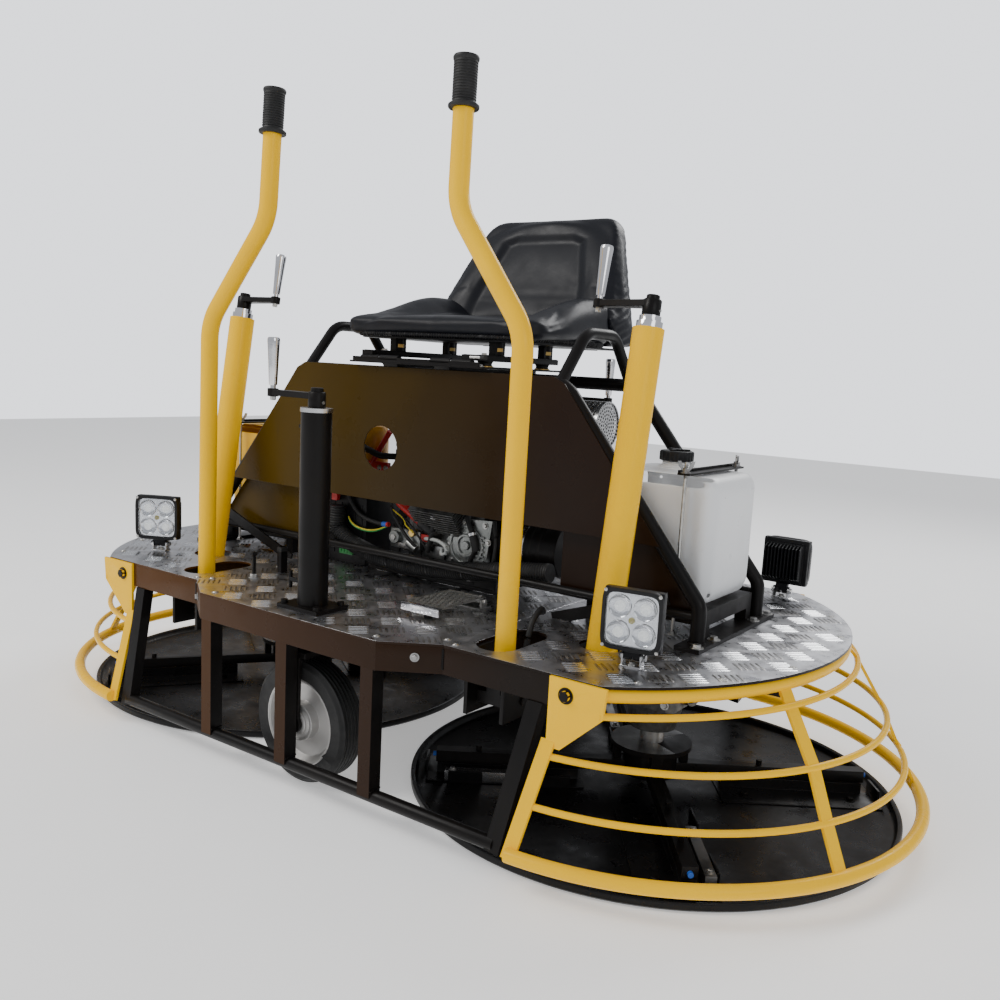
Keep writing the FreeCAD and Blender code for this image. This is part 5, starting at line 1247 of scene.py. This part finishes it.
def bay_front_parts(b):
    """Parts seen under the front cover: starter, filter, levers, pipes and leads."""
    b.block((-186, -97.5, 359), (186, -81.5, 400), "black", bevel=2)
    b.block((-186, -99, 359), (186, -97, 368), "black", bevel=0.5)
    plate = [(47, 410), (40, 455), (85, 513), (168, 518), (154, 410)]
    pts = [(x, y, z) for y in (-92.5, -79) for x, z in plate]
    b.add(pts,
        [[0, 1, 2, 3, 4], [9, 8, 7, 6, 5]] + [[k, 5 + k, 5 + (k + 1) % 5, (k + 1) % 5] for k in range(5)],
        "alloy")
    for r0, r1, d in ((40, 47, 4), (20, 26, 5), (0, 10, 6)):
        m = along((100, -92.2, 455), (0, -1, 0))
        b.lathe([(r0, 0), (r0, d * 0.8), (r0 + 1, d), (r1 - 1, d), (r1, d * 0.8), (r1, 0)], "alloy", m, 48,
            True)
    for k in range(6):
        b.block((118, -96.5, 424 + 10.5 * k), (150, -91.5, 428.5 + 10.5 * k), "alloy", bevel=1)
    for x, z in ((150, 506), (160, 470), (95, 506), (54, 452), (148, 418), (60, 418)):
        b.hexbolt((x, -92.5, z), (0, -1, 0), 5, 4, "zinc", 7.4, x * 0.04)
    b.block((-124, -92, 420), (-34, -79, 466), "alloy", bevel=4)
    b.rod((-104, -86, 446), (-104, -103.5, 446), 15, "alloy", 28)
    b.rod((-104, -103, 446), (-104, -107, 446), 7, "zinc", 6)
    b.rod((-70, -90, 436), (-40, -94, 424), 10, "alloy", 24)
    b.block((-96, -97.5, 422), (-58, -91.5, 434), "zinc", bevel=1)
    b.rod((-52, -86, 462), (-52, -103, 462), 8.5, "brass", 20)
    b.block((-30, -94, 446), (-4, -80, 462), "red", bevel=2)
    b.block((-20, -88, 410), (36, -79, 440), "steel", bevel=3)
    b.tube([(-110, -84, 540), (-98, -97, 531), (-63, -100, 512), (-23, -100, 489)], 10.5, "red", 20)
    b.tube([(-27, -100, 491.2), (-10, -99, 482), (6, -95, 472), (12, -84, 468)], 11.8, "rubber", 20)
    b.tube([(-251, -101.5, 540), (-248, -103, 522), (-228, -103.5, 497), (-200, -103.5, 480),
        (-160, -103, 472), (-137, -102.5, 471)], 5.2, "rubber", 14)
    b.rod((-140, -102.5, 471), (-126, -103, 472.2), 6.2, "blue", 16)
    b.rod((-127, -103, 472.1), (-120, -103.2, 472.7), 5.6, "red", 16)
    for off, key in ((0, "green"), (2.8, "wire_yellow")):
        b.tube([(-249, -104, 472 + off), (-240, -105, 461 + off), (-222, -105, 452 + off),
            (-190, -105, 448 + off), (-160, -104, 452 + off), (-126, -103, 467)], 1.9, key, 8)
    b.tube([(-116, -100, 536), (-112, -103, 508), (-92, -103, 480), (-64, -102, 450), (-40, -98, 430)], 4,
        "rubber", 12)
    b.tube([(-113, -103, 511), (-75, -104, 492), (-69, -104, 480), (-46, -104, 464)], 1.7, "wire_yellow", 8)
    b.tube([(-78, -103, 496), (-50, -104, 478), (-24, -103, 452), (-10, -98, 432)], 2.6, "rubber", 10)
    b.tube([(-22, -88, 452), (-6, -99, 455), (26, -103, 456), (50, -103, 446), (50, -102, 430),
        (36, -99, 426), (30, -90, 436)], 4.4, "lens_hose", 12)
    b.tube([(8, -86, 536), (12, -98, 505), (8, -100, 470), (-6, -96, 425)], 6.8, "rubber", 14)
    b.tube([(96, -90, 540), (106, -99, 515), (120, -100.5, 487)], 5.8, "rubber", 14)
    b.tube([(119, -100.5, 489), (128, -100, 468), (132, -98, 448)], 9.2, "rubber", 16)
    b.lathe([(9, 0), (10.4, 1), (10.4, 7), (9, 8)], "stainless", along((119.5, -100.5, 488), (0.35, 0, -1)),
        24)
    b.tube([(130, -98, 450), (118, -97, 428), (110, -94, 405)], 5, "rubber", 12)
    b.tube([(176, -96, 520), (186, -101, 470), (180, -101, 420)], 4.4, "rubber", 12)
    b.block((-300, -112, 510), (-282, -101, 530), "red", bevel=2)
    b.block((-282, -100, 380), (-238, -83, 412), "green", bevel=3)
    for k in range(4):
        b.block((-279 + 10 * k, -101.5, 384), (-274 + 10 * k, -99.5, 408), "green", bevel=0.6)
    fuel_side(b)


def fuel_side(b):
    """What shows through the round opening of the cover."""
    b.block((-320, -30, 575.5), (-20, 60, 584.5), "black", bevel=1)
    m = shift(-280, 12, 585)
    b.lathe([(0, 0), (34.5, 0), (35.8, 2), (35.8, 30), (34.5, 32), (34.5, 36), (35.8, 38), (35.5, 90),
        (30, 102), (18, 104.8), (0, 104.8)], "pump", m, 44)
    m = shift(-188, 22, 585)
    b.lathe([(0, 0), (21, 0), (21.8, 2), (21.8, 50), (20, 53), (20, 58), (21.8, 60), (21.8, 66), (16, 69.8),
        (0, 69.8)], "plastic", m, 36)
    b.tube([(-262, -24, 586), (-240, -25, 618), (-218, -25, 650), (-197, -24, 681)], 7, "red", 10)
    b.block((-276, -30, 584), (-196, -18, 605), "red", bevel=2)
    b.tube([(-316, -20, 660), (-292, -34, 651), (-270, -41, 640), (-240, -40, 630), (-214, -35, 622),
        (-186, -18, 621.5), (-162, -2, 621.5)], 7.8, "rubber", 16)
    for k in range(3):
        b.hexbolt((-222 + 20 * k, -30, 592), (0, -1, 0), 4.5, 3.4, "zinc", 6.6, k)


def make_engine():
    b = Build()
    engine_block(b)
    engine_barrel(b, -1)
    engine_barrel(b, 1)
    blower(b)
    air_cleaner(b)
    bay_front_parts(b)
    b.done("engine_detailed", "chassis", ["engine"])


def make_muffler():
    """A silencer can inside a perforated guard, with an elbow and a clamp."""
    b = Build()
    r = 51.5
    m = along((150, 88, 735), (1, 0, 0))
    b.lathe([(0, 2), (40, 2), (43, 6), (43, 172), (40, 176), (0, 176)], "steel", m, 48)
    holed_sleeve(b, m, r, 2, 180, 34, 15)
    holed_disc(b, m, r, 181.5)
    for h in (0, 91.5, 178):
        b.lathe([(r - 2, h), (r + 0.4, h), (r + 0.4, h + 6), (r - 2, h + 6)], "stainless", m, 56, True)
    b.lathe([(46, 0), (46, 2), (0, 2), (0, 0)], "steel", m, 40)
    b.tube([(108, 88, 640), (108, 88, 703), (112, 88, 721), (124, 88, 732), (142, 88, 735), (156, 88, 735)],
        16.2, "steel", 24)
    b.lathe([(16.6, 0), (17.6, 1), (17.6, 9), (16.6, 10)], "stainless", shift(108, 88, 655), 28)
    b.done("muffler_guarded", "chassis", ["muffler"])


def holed_cell(verts, faces, layers):
    """A thin plate with a hole; each layer has eight outer and eight inner points."""
    base = len(verts)
    for layer in layers:
        verts += layer
    for k in range(8):
        n = (k + 1) % 8
        cell = ((k, n, 8 + n, 8 + k), (16 + k, 24 + k, 24 + n, 16 + n), (8 + k, 8 + n, 24 + n, 24 + k))
        faces += [[base + i for i in face] for face in cell]


def holed_sleeve(b, m, r, h0, h1, around, rows):
    """A cylinder wall made of square cells, each with a round hole."""
    dh, wa = (h1 - h0) / rows, PI / around
    rad = min(dh, 2 * wa * r) * 0.33
    eighths = [(math.cos(PI * (k - 3) / 4), math.sin(PI * (k - 3) / 4)) for k in range(8)]
    square = ((-1, -1), (0, -1), (1, -1), (1, 0), (1, 1), (0, 1), (-1, 1), (-1, 0))
    verts, faces = [], []
    for j in range(rows):
        for i in range(around):
            ca, ch = wa * (2 * i + 1), h0 + dh * (j + 0.5)
            ring = [(ca + wa * u, ch + dh / 2 * v) for u, v in square]
            ring += [(ca + rad / r * u, ch + rad * v) for u, v in eighths]
            holed_cell(verts, faces, [[(q * math.cos(a), q * math.sin(a), h) for a, h in ring]
                for q in (r, r - 1.4)])
    b.add(verts, faces, "stainless", m)


def holed_disc(b, m, r, h):
    """A perforated end plate: rings of cells, each with a hole."""
    verts, faces = [], []
    rows = 6
    for j in range(rows):
        ra, rb = r * (j + 0.35) / (rows + 0.35), r * (j + 1.35) / (rows + 0.35)
        rm = (ra + rb) / 2
        n = max(6, int(2 * PI * rm / (rb - ra)))
        for i in range(n):
            a0, am, a1 = [2 * PI * (i + part) / n for part in (0, 0.5, 1)]
            cell = ((ra, a0), (ra, am), (ra, a1), (rm, a1), (rb, a1), (rb, am), (rb, a0), (rm, a0))
            ring = [(q * math.cos(a), q * math.sin(a)) for q, a in cell]
            x, y = rm * math.cos(am), rm * math.sin(am)
            ring += [(x + (u - x) * 0.58, y + (v - y) * 0.58) for u, v in ring]
            holed_cell(verts, faces, [[(u, v, z) for u, v in ring] for z in (h, h - 1.4)])
    b.add(verts, faces, "stainless", m)


def make_battery():
    b = Build()
    b.block((-340, -95, 358), (-200, 70, 523), "plastic", bevel=5)
    b.block((-345, -100, 523.2), (-195, 75, 536.8), "plastic", bevel=4)
    for k in range(6):
        x = -326 + 22.4 * k
        b.block((x - 1.8, -96.8, 380), (x + 1.8, -94, 505), "plastic", bevel=0.8)
        b.lathe([(0, 0), (8, 0), (8.5, 1), (8, 3), (0, 3)], "plastic", shift(x, -20, 536.6), 20)
    for y, key in ((-60, "red"), (40, "rubber")):
        m = shift(-315, y, 536.6)
        b.lathe([(0, 0), (9, 0), (8.2, 16), (0, 16)], "zinc", m, 24)
        b.lathe([(9.2, 2), (13, 2), (13, 12), (9, 12)], "steel", m, 24, True)
        b.hexbolt((-331, y, 543), (-1, 0, 0), 4, 5, "zinc")
        b.tube([(-302, y, 544), (-280, y - 4, 546.5), (-250, y - 12, 546), (-215, y - 22, 544),
            (-196, y - 28, 530)], 5.2, key, 12)
    b.done("battery_cased", "chassis", ["battery"])


def make_loom():
    b = Build()
    b.tube([(-272, -119, 500), (-272, -119, 456), (-262, -119, 438), (-226, -119, 418), (-180, -118.5, 405),
        (-141, -118, 397), (-80, -118, 393), (-30, -118, 392), (63, -118, 398), (152, -118, 408),
        (256, -118, 426), (338, -116, 435.5)], 19.4, "rubber", 24, wave=1.2, pitch=6.2)
    for x, z in ((-100, 394), (20, 395), (120, 404), (232, 421.5)):
        m = along((x, -118, z), (1, 0, 0.1))
        b.lathe([(20, 0), (21.1, 0.8), (21.1, 4.2), (20, 5)], "plastic", m, 28)
    b.tube([(352, -176, 365), (368, -190, 373), (382, -205, 378), (398, -238, 392), (404, -272, 380),
        (405, -286, 355), (404, -292, 325), (404, -296, 300)], 6, "rubber", 14)
    b.done("loom_corrugated", "chassis", ["wiring_loom"])


# ------------------------------------------------------------------ frame, guards, covers
def deck_rule(c, n):
    return "tread" if n.z > 0.5 else "brown"


def bumper_rule(c, n):
    return "brown" if c.z > 0.092 and abs(c.x) < 0.32 else "black"


def frame_rule(c, n):
    return "brown" if c.y < -0.28 and c.z > 0.295 else "black"


def weld(b, c, axis, r, key, size):
    """A ring of small overlapping weld ripples."""
    seg, rings = 52, []
    for k in range(seg + 1):
        a = 2 * PI * k / seg
        s = size * (1.0 if k % 2 else 0.78)
        ripple = [(r + s * math.cos(PI * j / 3), s * math.sin(PI * j / 3)) for j in range(6)]
        rings.append([(q * math.cos(a), q * math.sin(a), z) for q, z in ripple])
    b.skin(rings, key, along(c, axis))


def weld_line(b, a, c, key, size=2.6):
    a, c = Vector(a), Vector(c)
    n = max(3, int((c - a).length / 4.2))
    for k in range(n):
        p = a.lerp(c, (k + 0.5) / n)
        m = along(p, c - a)
        b.lathe([(0, -3.4), (size * 0.8, -2), (size, 0.4), (size * 0.7, 2.4), (0, 3.4)], key, m, 7)


def frame_welds():
    """Weld beads where the bumper posts and the seat hoops meet their plates."""
    b = Build()
    for s in (-1, 1):
        for x in (-225, 0, 225):
            for z in (302.5, 69.5):
                weld_line(b, (x - 15, s * 508, z), (x + 15, s * 508, z), "black", 2.4)
                for u in (-15.2, 15.2):
                    weld_line(b, (x + u, s * 536, z), (x + u, s * 510, z), "black", 2.4)
    b.done("bumper_welds", "chassis")
    b = Build()
    for s, t in CORNERS:
        weld(b, (s * 683, t * 146, 366.5), (0, 0, 1), 14.8, "black", 2.8)
    b.done("hoop_welds", "chassis")


def guard_bolts():
    """A hex bolt through each lug plate of the guards."""
    for s, node in ((1, "right_guard"), (-1, "left_guard")):
        b = Build()
        for t in (-1, 1):
            b.hexbolt((s * 606, t * 476.2, 329), (0, t, 0), 9.8, 7.4, "black", 14, 0.2)
        b.done(node + "_bolts", "chassis")


def beam_bolts():
    """A bolt on each slanted front beam and a weld down each corner."""
    b = Build()
    for s in (-1, 1):
        b.hexbolt((s * 303.3, -498.6, 332), (s * 0.5623, -0.8269, 0), 5.6, 4.5, "steel", 8.4, 0.4)
        weld_line(b, (s * 345, -470.4, 312), (s * 345, -470.4, 350), "black")
    b.done("beam_bolts", "chassis")


def make_frame():
    dress("main_frame", frame_rule, 0.0012)
    dress("front_bumper", bumper_rule, 0.001)
    dress("rear_bumper", "black", 0.001)
    dress("seat_frame", "black", 0.0008)
    dress("front_cover", "cover", 0.0006)
    for side in ("left", "right"):
        dress(side + "_lower_cover", "cover", 0.0006)
        dress(side + "_guard", "yellow", 0.0008)
        dress(side + "_lever", lambda c, n: "yellow" if c.z > 0.345 else "black", 0.0008)
        dress(side + "_deck_plate", deck_rule, 0.0005)
    dress("right_lever_yoke", "black", 0.001)
    dress("center_deck_plate", deck_rule, 0.0005)


# ------------------------------------------------------------------ rotors and drive
def make_rotor(side, name):
    """The spun pan, the arms with bolts and bars, and the gearbox."""
    cx = side * ROTOR_X
    body = name + "_rotor"

    def hub_rule(c, n):
        r = math.hypot(c.x - cx / 1000, c.y)
        return "blue" if r > 0.4485 else ("steel" if c.z > 0.0795 and r < 0.034 else "black")

    def gearbox_rule(c, n):
        return "oxide" if 0.205 < c.z < 0.284 and abs(c.y) > 0.078 else "cast"
    b = Build()
    b.lathe([(0, 0), (488, 0), (496, 2), (499.8, 6), (499.9, 15.5), (498.5, 17.9), (494, 17.9), (490.5, 16),
        (487, 6), (483, 3), (300, 3), (120, 3), (0, 3)], "pan", shift(cx, 0, 0), 160)
    b.done(name + "_pan_spun", body, [name + "_pan"])
    dress(name + "_blades", "pan", 0.0008)
    dress(name + "_rotor_hub", hub_rule, 0.001)
    b = Build()
    y0, y1 = sorted((side * 31, side * 51.5))
    for k in range(4):
        a = math.radians(35.5 + 90 * k)
        spin = shift(cx, 0, 0) @ Matrix.Rotation(a if side > 0 else PI - a, 4, "Z")
        for r in (190, 410):
            b.hexbolt(spin @ Vector((r, -50 * side, 6)), (0, 0, 1), 7.5, 5, "black", 11)
        b.block((245, y0, 6.2), (428, y1, 27), "stainless" if k == 2 else "steel", spin, 1.2)
        for r in (262, 412):
            b.hexbolt(spin @ Vector((r, (y0 + y1) / 2, 27)), (0, 0, 1), 5.2, 4, "zinc", 8)
    b.done(name + "_blade_bolts", body)
    dress(name + "_gearbox", gearbox_rule, 0.0014)
    b = Build()
    for s in (-1, 1):
        for t in (-1, 1):
            b.hexbolt((cx + s * 80, t * 130, 282.8), (0, 0, -1), 9, 7, "zinc", 14)
            for z in (270, 205):
                b.hexbolt((cx + s * 58, t * 75.2, z), (0, t, 0), 5.8, 4, "zinc", 9)
        b.lathe([(0, 0), (34, 0), (35, 2), (35, 5), (30, 7), (0, 7)], "cast",
            along((cx, s * 75, 240), (0, s, 0)), 40)
    b.done(name + "_gearbox_details", "chassis")


def make_drive():
    dress("driveshaft", "steel", 0.0008)
    dress("engine_pulley", "steel", 0.0008)
    dress("drive_belt", "rubber", 0.0008)


# ------------------------------------------------------------------ all together
make_camera()
paint_mats()
plain_mats()
metal_mats()
soft_mats()
make_studio()
make_frame()
frame_welds()
guard_bolts()
beam_bolts()
tread_bars()
deck_screws()
pedal()
column_dress()
jack_dress()
cranks()
grips()
wheels()
make_cushion()
make_back()
seat_trim()
tank_body("fuel_tank", 1, "white")
tank_body("water_tank", -1, "yplastic")
tank_top(1, "fuel_cap", "white")
tank_top(-1, "water_cap", "yplastic")
strap_details()
lamps()
make_engine()
make_muffler()
make_battery()
make_loom()
for side, name in SIDES:
    make_rotor(side, name)
make_drive()
